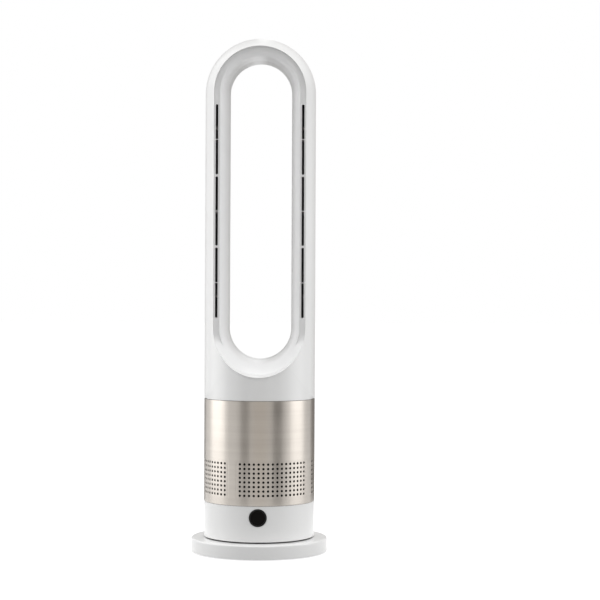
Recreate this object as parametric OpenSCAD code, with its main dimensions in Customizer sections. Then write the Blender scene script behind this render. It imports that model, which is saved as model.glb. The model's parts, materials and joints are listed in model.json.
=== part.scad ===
// Bladeless tower fan. A weighted round base carries a body that swings on it: a control band, a perforated
// metal intake sleeve with the blower inside, and a tall hollow loop that blows air from two long slits.
// Millimetres. Origin on the floor at the centre of the base, front towards -Y, right side +X, up +Z.

/* [Overall] */
// Height from the floor to the crown of the loop
overall_h = 965; // [930:1:1050]
// Outer radius of the loop's form, shared by its neck and the metal sleeve
tower_r = 104; // [102:0.5:108]

/* [Base] */
// Radius of the base plate
base_r = 128; // [126:1:145]
// Height of the base plate's top face above the floor
base_top = 27.4; // [25:0.2:34]
// Wall of the base cover
base_wall = 3; // [2.6:0.2:4]
// Radius of the rounded top edge
base_edge = 3.5; // [2:0.5:6]
// Thickness of the bottom plate
floor_t = 2.6; // [2:0.2:3.4]
// Radius of a rubber foot
foot_r = 8; // [6:0.5:9]
// How far a foot stands below the bottom plate
foot_proud = 2; // [1:0.5:3]
// Number of feet, and of the screws that hold the bottom plate
foot_count = 6; // [4:1:8]
// Thickness of the steel counterweight
weight_t = 6; // [4:0.5:7]
// How far the counterweight's edge lies inside the edge of the base
weight_inset = 22; // [17:0.5:38]
// Radius of the cord's hole through the rear grommet
cord_bore_r = 3.6; // [2.5:0.1:4.2]

/* [Swivel] */
// Open gap between the base and the body that turns on it
swivel_gap = 2.6; // [2.2:0.1:3.2]
// Diameter of a bearing ball
ball_d = 5; // [4.6:0.1:5.2]
// Number of balls in the cage
ball_count = 12; // [6:1:18]
// Radius of the circle that the balls run on
race_r = 64; // [58:1:72]
// Radius of the hollow spindle
spindle_r = 12; // [11:0.5:13]
// Radius of the cable way through the spindle
spindle_bore_r = 7.5; // [5:0.5:8]
// Swing to each side
swing_deg = 40; // [30:1:45]
// Tooth module of the swing gears
gear_module = 1.2; // [1.1:0.05:1.3]
// Teeth of the whole circle that the fixed sector is cut from
gear_teeth = 60; // [56:2:64]
// Teeth of the motor's pinion
pinion_teeth = 15; // [13:2:17]
// Face width of the swing gears
gear_t = 6; // [4:0.5:7]

/* [Control band] */
// Height of the band's top edge above the floor
band_top = 95.9; // [94:0.1:100]
// Wall of the band
band_wall = 2.5; // [2:0.1:3]
// How far the band's surface lies inside the sleeve's
band_step = 0.5; // [0.3:0.1:0.8]
// Radius of the round power key
key_r = 13.4; // [11:0.1:14]
// Width of the ring around the key
bezel_w = 2.7; // [2:0.1:3]
// Height of the key's centre
key_z = 74.8; // [72:0.1:75]
// Travel of the key
key_travel = 0.8; // [0.4:0.1:1]

/* [Intake] */
// Height of the sleeve's top edge
sleeve_top = 287.8; // [286:0.2:300]
// Thickness of the sleeve's sheet
sleeve_wall = 0.8; // [0.6:0.1:1]
// Diameter of a hole
hole_d = 4.2; // [3:0.1:4.4]
// Columns of holes in a window
hole_columns = 16; // [8:1:17]
// Rows of holes in a window
hole_rows = 8; // [4:1:8]
// Pitch of the rows
hole_row_pitch = 8.19; // [6:0.01:8.3]
// Angle between columns
hole_pitch_deg = 4.83; // [4.2:0.01:4.9]
// Height of the lowest row
hole_first_z = 115.2; // [112:0.1:118]
// Number of windows
window_count = 4; // [2:1:4]
// Turn of the windows away from the front
window_turn_deg = 17.6; // [0:0.1:44]
// Wall of the plastic core behind the sleeve
core_wall = 2.5; // [2:0.1:3]

/* [Blower] */
// Radius of the inlet's throat
inlet_r = 52; // [48:0.5:54]
// Radius of the duct after the impeller
duct_r = 69; // [67:0.5:71]
// Wall of the blower's housings
duct_wall = 2.2; // [1.8:0.1:2.6]
// Height of the impeller
impeller_h = 34; // [28:0.5:36]
// Radius of the impeller's hub at its wide end
hub_r = 42; // [41:0.5:44]
// Number of impeller blades
blade_count = 9; // [5:1:11]
// Number of vanes in the diffuser
vane_count = 11; // [7:1:13]
// Height of the diffuser's vanes
vane_h = 34; // [28:0.5:36]
// Radius of the motor can
motor_r = 38; // [36:0.5:38.5]
// Radius of the motor shaft
shaft_r = 3; // [2.5:0.1:3.2]

/* [Loop] */
// Wall of the loop's shells
loop_wall = 3; // [2.4:0.1:3.4]
// Wall of the funnel liner
liner_wall = 2.5; // [2:0.1:2.8]
// Height of the centre of the opening's lower arc
opening_low = 420; // [414:1:440]
// Width of the white rim beside the opening, seen from the front
rim_w = 18.7; // [18:0.1:20]
// Width of the channel and the funnel between the rim and the throat
funnel_w = 24.3; // [23:0.1:27]
// How much narrower than the throat the opening is inside the rear shell
rear_step = 2.4; // [1:0.1:5]
// Width of the recessed channel inside the rim
channel_w = 9.7; // [8.5:0.1:10]
// Depth of the channel
channel_depth = 4; // [3:0.1:5]
// Width of an air slit
slit_w = 4.6; // [3:0.1:5]
// Distance of the slit's middle from the rim
slit_inset = 5.3; // [5:0.1:5.6]
// Height of the slit's lower end above the lower arc's centre
slit_low_rise = 20; // [16:1:40]
// Depth of the slit's upper end below the crown's centre
slit_high_drop = 25; // [20:1:60]
// Depth of a nozzle strip behind its slit
nozzle_depth = 14; // [10:0.5:16]

/* [Hidden] */
$fn = 96;

// Overrun of every cut past the face that it opens
over = 1;
// Free gap between housings that nest, around a part in its hole, and in a running fit
nest = 0.3;
slip = 0.2;
fit = 0.05;
// Axial play of the parts that turn
play = 0.1;
// Pitch and shape of the screws, all of one size
screw_r = 1.45;
screw_hole_r = 1.6;
screw_pass_r = 1.8;
screw_head_r = 2.8;
screw_head_h = 1.6;
screw_sink = 1.8;
screw_hold = 9;
boss_r = 4.2;
boss_depth = 12;

// Levels of the base
floor_z = foot_proud;
floor_top = floor_z + floor_t;
base_ceiling = base_top - base_wall;
foot_sink = 1;
foot_inset = 24;
foot_ring_r = base_r - foot_inset;
post_inset = 11;
base_post_ring_r = base_r - post_inset;
weight_r = base_r - weight_inset;
base_post_r = 4.5;
weight_in_r = 46;
peg_r = 3;
peg_short = 1;
peg_h = weight_t - peg_short;
rib_t = 1.8;
base_rib_h = 6;
base_rib_in_r = 26;
race_pad_w = 14;
race_pad_h = 2.4;
pocket_depth = 1;
pocket_w = 20;
pocket_h = 19;
grommet_lift = 0.8;
grommet_z = base_top / 2 + grommet_lift;
grommet_flange_w = 4.2;
grommet_flange_r = cord_bore_r + grommet_flange_w;
grommet_wall = 2;
grommet_barrel_r = cord_bore_r + grommet_wall;
grommet_tail_wall = 1.6;
grommet_tail_r = cord_bore_r + grommet_tail_wall;
grommet_flange_t = 1;
grommet_tail = 9;

// Levels of the swivel, from the base up
tower_z = base_top + swivel_gap;
plate_t = 3;
plate_top = tower_z + plate_t;
ball_z = base_top + swivel_gap / 2;
cage_t = 1.2;
cage_w = 15;
table_hub_wall = 8;
table_hub_r = spindle_r + table_hub_wall;
table_hub_h = 11;
table_hub_top = tower_z + table_hub_h;
washer_t = 0.8;
washer_inset = 1;
washer_r = table_hub_r - washer_inset;
gear_z = table_hub_top + washer_t + 2 * play;
spindle_flange_w = 15;
spindle_flange_r = spindle_r + spindle_flange_w;
spindle_flange_t = 5;
spindle_screw_reach = 8;
spindle_screw_ring_r = spindle_r + spindle_screw_reach;
spindle_shoulder = 2;
spindle_neck_r = spindle_r - spindle_shoulder;
flat_depth = 1.4;
spindle_flat = spindle_neck_r - flat_depth;
groove_depth = 1;
clip_t = 1;
clip_z = gear_z + gear_t + play;
clip_w = 3;
clip_r = spindle_neck_r + clip_w;
spindle_end = 2.4;
spindle_top = clip_z + clip_t + spindle_end;

// Swing gears: involute teeth of one module, 20 degree pressure angle, with backlash
gear_r = gear_module * gear_teeth / 2;
pinion_r = gear_module * pinion_teeth / 2;
gear_centre = gear_r + pinion_r;
pressure_deg = 20;
backlash_share = 0.06;
addendum_share = 0.9;
dedendum_share = 1.15;
flank_rise_share = 0.1;
flank_steps = 3;
gear_azimuth = 90;
spare_swing_deg = 12;
sector_teeth_each_side = ceil((swing_deg + spare_swing_deg) * gear_teeth / 360);
stop_inset = 6;
stop_r = gear_r - stop_inset;
stop_post_r = 3;
stop_arm_half_deg = 9;
stop_arm_share = 1.13;
stop_spare_deg = 1.2;
stop_post_deg = stop_arm_half_deg + swing_deg + asin(stop_post_r / stop_r) + stop_spare_deg;

// Swing motor: a small geared stepper hung shaft down from two ears
stepper_r = 14;
stepper_h = 19;
stepper_offset = 8;
stepper_ear_reach = 17.5;
stepper_ear_r = 3.5;
stepper_ear_t = 1;
stepper_nose_r = 4.6;
stepper_nose_h = 2;
stepper_shaft_r = 2.5;
stepper_flat = 1.6;
stepper_rise = 6;
stepper_z = gear_z + gear_t + stepper_rise;
stepper_box = 3;
stepper_post_r = 4;

// Control band and the parts that stand on the turntable
band_r = tower_r - band_step;
band_in_r = band_r - band_wall;
table_r = band_in_r - nest;
band_boss_ring_r = band_in_r - boss_r + slip;
band_boss_start_deg = 45;
deck_t = 3;
deck_z = band_top - deck_t;
deck_rib_h = 3.5;
table_rib_h = 5;
table_rib_start_deg = 11.25;
table_rib_clear = 7;
table_rib_in_r = gear_r + table_rib_clear;
table_rib_inset = 12;
table_rib_out_r = table_r - table_rib_inset;
bezel_r = key_r + bezel_w;
bezel_proud = 0.5;
bezel_front_y = -(band_r + bezel_proud);
bezel_plate_t = 2;
bezel_plate_w = 42;
bezel_plate_h = 32;
bezel_plate_inset = 4.6;
bezel_plate_y = -(band_in_r - bezel_plate_inset);
key_set_back = 0.4;
key_front_y = bezel_front_y + key_set_back;
key_slip = 0.15;
key_cap_t = 3.6;
key_skirt_wall = 1.6;
key_stem_r = 2.4;
key_rim_w = 1.4;
key_rim_r = key_r + key_rim_w;
key_rim_t = 1;
board_t = 1.6;
key_board_back = 7;
key_board_y = bezel_plate_y + key_board_back;
key_board_w = 40;
key_board_h = 28;
key_post_x = 16.5;
key_post_z = 11;
switch_w = 6;
switch_t = 3.5;
plunger_r = 1.7;
plunger_h = 1;
main_board_inset = 12.7;
main_board_x = main_board_inset - table_r;
main_board_w = 42;
main_board_l = 74;
main_board_rise = 7;
main_board_z = plate_top + main_board_rise;
main_post_inset = 5;
main_post_r = 3;

// Intake: plastic core with windows behind the perforated sheet
sleeve_bottom = band_top + nest;
core_r = tower_r - sleeve_wall - nest;
core_in_r = core_r - core_wall;
core_fit_r = core_in_r - nest;
core_foot_w = 9;
core_foot_t = 2.5;
window_margin = 4;
window_low = hole_first_z - window_margin;
window_high = hole_first_z + (hole_rows - 1) * hole_row_pitch + window_margin;
window_half_deg = hole_columns * hole_pitch_deg / 2;
window_bar_w = 1.6;
ledge_t = 3;
ledge_w = 8;
ledge_clear = 3;
ledge_z = window_high + ledge_clear;
seal_t = 3;
seal_z = ledge_z + ledge_t;
blower_ring_inset = 4.4;
blower_ring_r = core_in_r - blower_ring_inset;

// Blower levels, from the inlet up
inlet_z = seal_z + seal_t;
inlet_t = 2.4;
bell_r = 12;
shroud_z = inlet_z + bell_r;
shroud_steps = 6;
shroud_h = 26;
shroud_tail = 8;
shroud_top = shroud_z + impeller_h + shroud_tail;
flange_w = 8;
flange_t = 2.4;
duct_screw_reach = 4;
duct_screw_ring_r = duct_r + duct_wall + duct_screw_reach;
damper_h = 3;
damper_r = 3.4;
tip_gap = 0.7;
impeller_drop = 2;
impeller_z = shroud_z - impeller_drop;
nose_r = 11;
blade_t = 1.6;
blade_sweep_deg = 48;
blade_root_r = 10;
blade_steps = 3;
hub_steps = 3;
hub_hollow_share = 0.3;
hub_hollow_r_share = 0.6;
hub_floor_gap = 2;
hub_floor_z = impeller_z + impeller_h + hub_floor_gap;
hub_floor_t = 3;
hub_hole_r = 12;
hub_wall = 2;
diffuser_z = shroud_top;
diffuser_top = diffuser_z + vane_h;
vane_t = 1.6;
vane_tilt_deg = 24;
motor_z = hub_floor_z + hub_floor_t;
motor_wall = 1.6;
motor_floor_t = 2;
motor_top_gap = 3;
motor_h = diffuser_top - motor_z - motor_top_gap;
motor_top = motor_z + motor_h;
bearing_r = 8;
bearing_h = 5;
bearing_wall = 2.4;
stator_h = 14;
stator_z = motor_z + motor_h / 2 - stator_h / 2;
stator_ring_w = 5;
stator_teeth = 9;
stator_tooth_w = 5;
rotor_r = 19;
air_gap = 0.6;
coil_t = 2.2;
coil_inset = 2;
motor_screw_ring_r = 24;
nut_h = 4;
nut_r = 5.5;
shaft_stub = 1;
shaft_bottom = impeller_z - nut_h - shaft_stub;
shaft_top = motor_top + motor_floor_t + shaft_stub;
bullet_h = 26;
bullet_steps = 8;
bullet_wall = 2;

// Neck: a collar inside the core carries the loop
neck_gap = 0.6;
loop_bottom = sleeve_top + neck_gap;
collar_h = 19;
collar_z = sleeve_top - collar_h;
collar_wall = 3.6;
collar_ledge_t = 3;
collar_w = 14;
collar_in_r = core_in_r - collar_w;
neck_screw_reach = 6;
neck_screw_ring_r = collar_in_r + neck_screw_reach;
collar_screw_drop = 10;
collar_screw_z = sleeve_top - collar_screw_drop;
neck_flange_t = 3;

// Loop: a capsule with a funnel cut through it along Y
crown_z = overall_h - tower_r;
loop_in_r = tower_r - loop_wall;
seam = 0.2;
rim_drop = 2.5;
rim_top = crown_z - rim_drop;
throat_rise = 5;
throat_top = crown_z + throat_rise;
rim_half = tower_r - rim_w;
throat_half = rim_half - funnel_w;
rear_half = throat_half - rear_step;
lip_flare = 3.7;
lip_depth = 8.5;
rim_face_y = -sqrt(tower_r * tower_r - rim_half * rim_half);
channel_out = rim_half - 2 * slip;
channel_in = channel_out - channel_w;
crown_set_back = 2.4;
crown_y = rim_face_y + crown_set_back;
channel_floor_y = crown_y + channel_depth;
channel_back_y = channel_floor_y + liner_wall;
channel_end_deg = 22;
bowl_out = channel_out - slip;
bowl_y = rim_face_y - lip_depth;
curve_steps = 7;
bowl_steps = 4;
throat_end_y = 15;
throat_lap = 0.4;
straight_half = throat_half - throat_lap;
flange_lap = 1;
flange_back_y = channel_back_y + flange_lap;
rim_flange_t = 2.5;
rear_start_y = throat_end_y + seam;
rear_straight = 30;
rear_narrow_y = throat_end_y + rear_straight;
rear_mouth_w = 11.5;
rear_rim_half = throat_half + rear_mouth_w;
rear_rim_inset = 27.5;
rear_rim_y = tower_r - rear_rim_inset;
rear_flare = 4;
slit_x = rim_half - slit_inset;
slit_low = opening_low + slit_low_rise;
slit_high = crown_z - slit_high_drop;
slit_len = slit_high - slit_low;
bridge_shares = [1 / 3, 2 / 3];
bridge_h = 4;
rib_shares = [1 / 6, 1 / 2, 5 / 6];
rib_h = 2;
rib_set_back = 1.5;
nozzle_lip = 2;
nozzle_end = 4;
lug_shares = [0.1, 0.5, 0.9];
lug_reach = 3.2;
lug_x = slit_x + lug_reach;
lug_h = 14;
lug_t = 3;
lug_in = 6;
shell_boss_r = 4;

// A ring or tube that stands at height z
module tube(outer, inner, z, h) {
  translate([0, 0, z]) difference() {
    cylinder(r = outer, h = h);
    translate([0, 0, -over]) cylinder(r = inner, h = h + 2 * over);
  }
}

// A disc or post that stands at height z
module disc(r, z, h) {
  translate([0, 0, z]) cylinder(r = r, h = h);
}

// Copies on a circle
module around(count, ring_r, start = 0) {
  for (i = [0 : count - 1]) rotate([0, 0, start + i * 360 / count]) translate([ring_r, 0, 0]) children();
}

// A cylinder that lies along +Y from y0 to y1
module bar_y(r, y0, y1) {
  translate([0, y0, 0]) rotate([-90, 0, 0]) cylinder(r = r, h = y1 - y0);
}

// A screw that points up from its head, which starts at z
module screw_up(z, length) {
  disc(screw_head_r, z, screw_head_h);
  disc(screw_r, z, screw_head_h + length);
}

// A screw that points down, its head resting at z
module screw_down(z, length) {
  disc(screw_head_r, z, screw_head_h);
  disc(screw_r, z - length, length + screw_head_h);
}

// Angle of an involute at a pressure angle, in degrees
function involute_deg(a) = (tan(a) - a * PI / 180) * 180 / PI;

// Half of a tooth's angle at radius r
function tooth_half_deg(teeth, r) =
  let (pitch = gear_module * teeth / 2, base = pitch * cos(pressure_deg))
  90 / teeth * (1 - backlash_share) + involute_deg(pressure_deg) - involute_deg(acos(min(1, base / r)));

// Outline of one tooth from root to root, as radius and angle from the tooth's middle
function tooth_line(teeth) =
  let (pitch = gear_module * teeth / 2, root = pitch - dedendum_share * gear_module,
       low = max(root + flank_rise_share * gear_module, pitch * cos(pressure_deg)),
       tip = pitch + addendum_share * gear_module,
       radii = [for (i = [0 : flank_steps]) low + (tip - low) * i / flank_steps],
       flank = concat([[root, tooth_half_deg(teeth, low)]], [for (r = radii) [r, tooth_half_deg(teeth, r)]]))
  concat([for (p = flank) [p[0], -p[1]]],
         [for (i = [len(flank) - 1 : -1 : 0]) flank[i]]);

// Outline of the teeth whose numbers are given, tooth 0 pointing along +X
function gear_line(teeth, numbers) =
  [for (k = numbers, p = tooth_line(teeth)) let (a = p[1] + k * 360 / teeth) [p[0] * cos(a), p[0] * sin(a)]];

// Round stock with two flats, as a 2-D outline
module double_d(r, flat) {
  intersection() {
    circle(r = r);
    square([2 * flat, 2 * r + over], center = true);
  }
}

module base_cover() {
  color("white") {
    difference() {
      union() {
        rotate_extrude($fn = 180) base_profile();
        around(foot_count, base_post_ring_r) disc(base_post_r, floor_top + slip, base_ceiling - floor_top);
        for (i = [0 : 2 * foot_count - 1]) rotate([0, 0, (i + 0.5) * 180 / foot_count])
          translate([base_rib_in_r, -rib_t / 2, base_ceiling - base_rib_h])
            cube([base_r - base_wall / 2 - base_rib_in_r, rib_t, base_rib_h + base_wall / 2]);
        tube(race_r + race_pad_w / 2, race_r - race_pad_w / 2, base_ceiling - race_pad_h, race_pad_h + base_wall / 2);
      }
      disc(spindle_r + slip, floor_z, base_top);
      tube(spindle_flange_r + nest, spindle_r, base_ceiling - base_rib_h - over, base_rib_h + over);
      race_groove();
      around(foot_count, base_post_ring_r) disc(screw_hole_r, floor_z, boss_depth);
      around(4, spindle_screw_ring_r) disc(screw_hole_r, base_ceiling - over, base_wall * 0.7 + over);
      translate([0, 0, grommet_z]) bar_y(grommet_barrel_r + slip, base_r - base_wall - 2 * over, base_r + over);
      translate([-pocket_w / 2, base_r - pocket_depth, grommet_z - pocket_h / 2])
        cube([pocket_w, pocket_depth + over, pocket_h]);
    }
  }
}

// Half section of the base cover: a cap with a rounded top edge
module base_profile() {
  difference() {
    union() {
      translate([0, floor_z]) square([base_r, base_top - floor_z - base_edge]);
      translate([0, floor_z]) square([base_r - base_edge, base_top - floor_z]);
      translate([base_r - base_edge, base_top - base_edge]) circle(r = base_edge);
    }
    translate([-over, floor_z - over]) square([base_r - base_wall + over, base_ceiling - floor_z + over]);
  }
}

// Ring-shaped groove that the balls run in
module race_groove() {
  translate([0, 0, ball_z]) rotate_extrude() translate([race_r, 0]) circle(r = ball_d / 2 + play, $fn = 32);
}

module base_floor() {
  color("dimgray") difference() {
    union() {
      disc(base_r - base_wall - nest, floor_z, floor_t);
      around(4, (weight_in_r + weight_r) / 2, 45) disc(peg_r, floor_top - over, peg_h + over);
      tube(weight_in_r - nest, weight_in_r - nest - rib_t, floor_top - over, weight_t + over);
    }
    around(foot_count, foot_ring_r, 180 / foot_count) disc(foot_r + slip, floor_z - over, foot_sink + over);
    around(foot_count, base_post_ring_r) {
      disc(screw_head_r + nest, floor_z - over, screw_sink + over);
      disc(screw_pass_r, floor_z - over, floor_t + 2 * over);
    }
  }
}

module counterweight() {
  color("slategray") difference() {
    tube(weight_r, weight_in_r, floor_top, weight_t);
    around(4, (weight_in_r + weight_r) / 2, 45) disc(peg_r + nest, floor_top - over, weight_t + 2 * over);
  }
}

module rubber_feet() {
  color("black") around(foot_count, foot_ring_r, 180 / foot_count) disc(foot_r, 0, foot_proud + foot_sink);
}

module base_screws() {
  color("silver") around(foot_count, base_post_ring_r)
    screw_up(floor_z + screw_sink - screw_head_h, screw_hold);
}

module cord_grommet() {
  flange_y = base_r - pocket_depth;
  wall_y = base_r - base_wall - slip;
  color("gray") translate([0, 0, grommet_z]) difference() {
    union() {
      bar_y(grommet_flange_r, flange_y, flange_y + grommet_flange_t * 0.9);
      bar_y(grommet_barrel_r, wall_y - over, flange_y + grommet_flange_t / 2);
      bar_y(grommet_flange_r, wall_y - 2 * grommet_flange_t, wall_y - grommet_flange_t / 2);
      bar_y(grommet_tail_r, wall_y - grommet_tail, wall_y);
    }
    bar_y(cord_bore_r, wall_y - grommet_tail - over, base_r + over);
  }
}

module spindle() {
  color("silver") difference() {
    union() {
      disc(spindle_flange_r, base_ceiling - spindle_flange_t, spindle_flange_t);
      disc(spindle_r, base_ceiling - spindle_flange_t, gear_z - base_ceiling + spindle_flange_t);
      translate([0, 0, gear_z - over]) linear_extrude(spindle_top - gear_z + over)
        double_d(spindle_neck_r, spindle_flat);
    }
    disc(spindle_bore_r, 0, spindle_top + over);
    around(4, spindle_screw_ring_r) disc(screw_pass_r, 0, base_ceiling + over);
    tube(spindle_r, spindle_neck_r - groove_depth, clip_z - fit, clip_t + 2 * fit);
  }
}

module spindle_screws() {
  color("silver") around(4, spindle_screw_ring_r)
    screw_up(base_ceiling - spindle_flange_t - screw_head_h, spindle_flange_t + base_wall * 0.6);
}

module thrust_washer() {
  color("tan") tube(washer_r, spindle_r + nest, table_hub_top + play, washer_t);
}

module sector_gear() {
  numbers = [-sector_teeth_each_side : sector_teeth_each_side];
  arm_r = stop_r * stop_arm_share;
  arm = [for (a = [-stop_arm_half_deg, stop_arm_half_deg]) [arm_r * cos(a), arm_r * sin(a)]];
  color("ivory") translate([0, 0, gear_z]) rotate([0, 0, gear_azimuth]) difference() {
    union() {
      cylinder(r = washer_r, h = gear_t);
      linear_extrude(gear_t) polygon(concat([[0, 0]], gear_line(gear_teeth, numbers)));
      mirror([1, 0, 0]) linear_extrude(gear_t) polygon(concat([[0, 0]], arm));
    }
    rotate([0, 0, -gear_azimuth]) translate([0, 0, -over]) linear_extrude(gear_t + 2 * over)
      double_d(spindle_neck_r + play, spindle_flat + play);
  }
}

module retaining_ring() {
  color("silver") translate([0, 0, clip_z]) linear_extrude(clip_t) difference() {
    circle(r = clip_r);
    circle(r = spindle_neck_r - groove_depth + fit);
    translate([0, -spindle_neck_r / 2]) square([clip_r + over, spindle_neck_r]);
  }
}

module ball_cage() {
  color("ivory") difference() {
    tube(race_r + cage_w / 2, race_r - cage_w / 2, ball_z - cage_t / 2, cage_t);
    around(ball_count, race_r) disc(ball_d / 2 + slip, ball_z - ball_d / 2, ball_d);
  }
}

module bearing_balls() {
  color("silver") around(ball_count, race_r) translate([0, 0, ball_z]) sphere(r = ball_d / 2, $fn = 32);
}

module turntable() {
  color("lightgray") difference() {
    union() {
      disc(table_r, tower_z, plate_t);
      disc(table_hub_r, tower_z, table_hub_top - tower_z);
      for (i = [0 : 7]) rotate([0, 0, i * 45 + table_rib_start_deg])
        translate([table_rib_in_r, -rib_t / 2, plate_top - over])
          cube([table_rib_out_r - table_rib_in_r, rib_t, table_rib_h + over]);
      for (side = [-1, 1]) {
        translate([side * stepper_ear_reach, gear_centre + stepper_offset, 0])
          disc(stepper_post_r, plate_top - over, stepper_z - plate_top + over);
        rotate([0, 0, gear_azimuth + 180 + side * stop_post_deg]) translate([stop_r, 0, 0])
          disc(stop_post_r, plate_top - over, gear_z + gear_t - plate_top);
      }
      main_posts() disc(main_post_r, plate_top - over, main_board_z - plate_top + over);
    }
    disc(spindle_r + fit, 0, table_hub_top + over);
    race_groove();
    around(4, band_boss_ring_r, band_boss_start_deg) {
      disc(screw_head_r + nest, tower_z - over, screw_sink + over);
      disc(screw_pass_r, tower_z - over, plate_t + 2 * over);
    }
    main_posts() disc(screw_hole_r, plate_top, main_board_z);
    for (side = [-1, 1]) translate([side * stepper_ear_reach, gear_centre + stepper_offset, 0])
      disc(screw_hole_r, stepper_z - boss_depth, boss_depth + over);
  }
}

// The four posts under the main board
module main_posts() {
  for (i = [0, 1], j = [-1, 1])
    translate([main_board_x + main_post_inset + i * (main_board_w - 2 * main_post_inset),
               j * (main_board_l / 2 - main_post_inset), 0]) children();
}

module turntable_screws() {
  color("silver") around(4, band_boss_ring_r, band_boss_start_deg)
    screw_up(tower_z + screw_sink - screw_head_h, screw_hold);
}

module swing_motor() {
  ear_y = gear_centre + stepper_offset;
  color("silver") difference() {
    union() {
      translate([0, ear_y, 0]) disc(stepper_r, stepper_z, stepper_h);
      translate([-stepper_ear_reach, ear_y - stepper_ear_r, stepper_z])
        cube([2 * stepper_ear_reach, 2 * stepper_ear_r, stepper_ear_t]);
      for (side = [-1, 1]) translate([side * stepper_ear_reach, ear_y, 0])
        disc(stepper_ear_r, stepper_z, stepper_ear_t);
      translate([0, gear_centre, 0]) disc(stepper_nose_r, stepper_z - stepper_nose_h, stepper_nose_h + over);
      translate([-stepper_r / 2, ear_y, stepper_z + over])
        cube([stepper_r, stepper_r + stepper_box, stepper_h - 2 * over]);
    }
    translate([0, gear_centre, 0])
      disc(stepper_shaft_r + fit, stepper_z - stepper_nose_h - over, 2 * stepper_nose_h + 3 * over);
    for (side = [-1, 1]) translate([side * stepper_ear_reach, ear_y, 0])
      disc(screw_pass_r, stepper_z - over, stepper_ear_t + 2 * over);
  }
}

module swing_screws() {
  color("silver") for (side = [-1, 1]) translate([side * stepper_ear_reach, gear_centre + stepper_offset, 0])
    screw_down(stepper_z + stepper_ear_t, screw_hold);
}

module swing_shaft() {
  top = stepper_z + stepper_nose_h;
  color("silver") translate([0, gear_centre, 0]) {
    disc(stepper_shaft_r, gear_z + gear_t + play, top - gear_z - gear_t);
    translate([0, 0, gear_z]) linear_extrude(gear_t + over) double_d(stepper_shaft_r, stepper_flat);
  }
}

module swing_pinion() {
  numbers = [1 / 2 : pinion_teeth - 1 / 2];
  color("ivory") translate([0, gear_centre, gear_z]) rotate([0, 0, gear_azimuth + 180]) difference() {
    linear_extrude(gear_t) polygon(gear_line(pinion_teeth, numbers));
    rotate([0, 0, -gear_azimuth - 180]) translate([0, 0, -over]) linear_extrude(gear_t + 2 * over)
      double_d(stepper_shaft_r + fit, stepper_flat + fit);
  }
}

module control_band() {
  color("white") difference() {
    union() {
      translate([0, 0, tower_z]) difference() {
        cylinder(r = band_r, h = band_top - tower_z, $fn = 180);
        translate([0, 0, -over]) cylinder(r = band_in_r, h = band_top - tower_z + 2 * over, $fn = 180);
      }
      around(4, band_boss_ring_r, band_boss_start_deg)
        disc(boss_r, plate_top + slip, deck_z - plate_top - 2 * slip);
    }
    around(4, band_boss_ring_r, band_boss_start_deg) {
      disc(screw_hole_r, tower_z, boss_depth);
      disc(screw_hole_r, deck_z - boss_depth, boss_depth + over);
    }
    translate([0, 0, key_z]) bar_y(bezel_r + nest, -band_r - over, 0);
  }
}

module key_bezel() {
  plate_back = bezel_plate_y + bezel_plate_t;
  color("black") difference() {
    union() {
      translate([0, 0, key_z]) bar_y(bezel_r, bezel_front_y, plate_back);
      translate([-bezel_plate_w / 2, bezel_plate_y, key_z - bezel_plate_h / 2])
        cube([bezel_plate_w, bezel_plate_t, bezel_plate_h]);
      key_posts() bar_y(main_post_r, bezel_plate_y, key_board_y);
    }
    translate([0, 0, key_z]) {
      bar_y(key_r + key_slip, bezel_front_y - over, plate_back + over);
      bar_y(key_rim_r + slip, key_front_y + key_cap_t - key_rim_t - slip, plate_back + over);
    }
    key_posts() bar_y(screw_hole_r, bezel_plate_y + bezel_plate_t, key_board_y + over);
  }
}

// The two posts that hold the key board
module key_posts() {
  for (side = [-1, 1]) translate([side * key_post_x, 0, key_z + side * key_post_z]) children();
}

module power_key() {
  back = key_front_y + key_cap_t;
  switch_tip = key_board_y - switch_t - plunger_h;
  color("black") translate([0, 0, key_z]) {
    difference() {
      union() {
        bar_y(key_r, key_front_y, back);
        bar_y(key_rim_r, back - key_rim_t, back);
      }
      bar_y(key_r - key_skirt_wall, back - key_cap_t / 2, back + over);
    }
    bar_y(key_stem_r, back - key_cap_t * 0.6, switch_tip - key_travel - 2 * play);
  }
}

module key_board() {
  color("darkgreen") difference() {
    translate([-key_board_w / 2, key_board_y, key_z - key_board_h / 2])
      cube([key_board_w, board_t, key_board_h]);
    key_posts() bar_y(screw_pass_r, key_board_y - over, key_board_y + board_t + over);
  }
}

// Tact switch under the key, receiver beside it and a connector behind
module key_parts() {
  receiver = 5;
  receiver_x = 8;
  plug_w = 12;
  plug_t = 5;
  color("dimgray") {
    translate([-switch_w / 2, key_board_y - switch_t, key_z - switch_w / 2]) cube([switch_w, switch_t, switch_w]);
    translate([0, 0, key_z]) bar_y(plunger_r, key_board_y - switch_t - plunger_h, key_board_y - switch_t / 2);
    translate([receiver_x, key_board_y - receiver, key_z - receiver / 2]) cube([receiver, receiver, receiver]);
    translate([-plug_w / 2, key_board_y + board_t, key_z - key_board_h / 2 + over]) cube([plug_w, plug_t, plug_t]);
  }
}

module key_screws() {
  start = key_board_y + board_t;
  color("silver") key_posts() {
    bar_y(screw_head_r, start, start + screw_head_h);
    bar_y(screw_r, start - board_t - screw_hold / 2, start + screw_head_h);
  }
}

module main_board() {
  color("darkgreen") difference() {
    translate([main_board_x, -main_board_l / 2, main_board_z]) cube([main_board_w, main_board_l, board_t]);
    main_posts() disc(screw_pass_r, main_board_z - over, board_t + 2 * over);
  }
}

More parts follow.
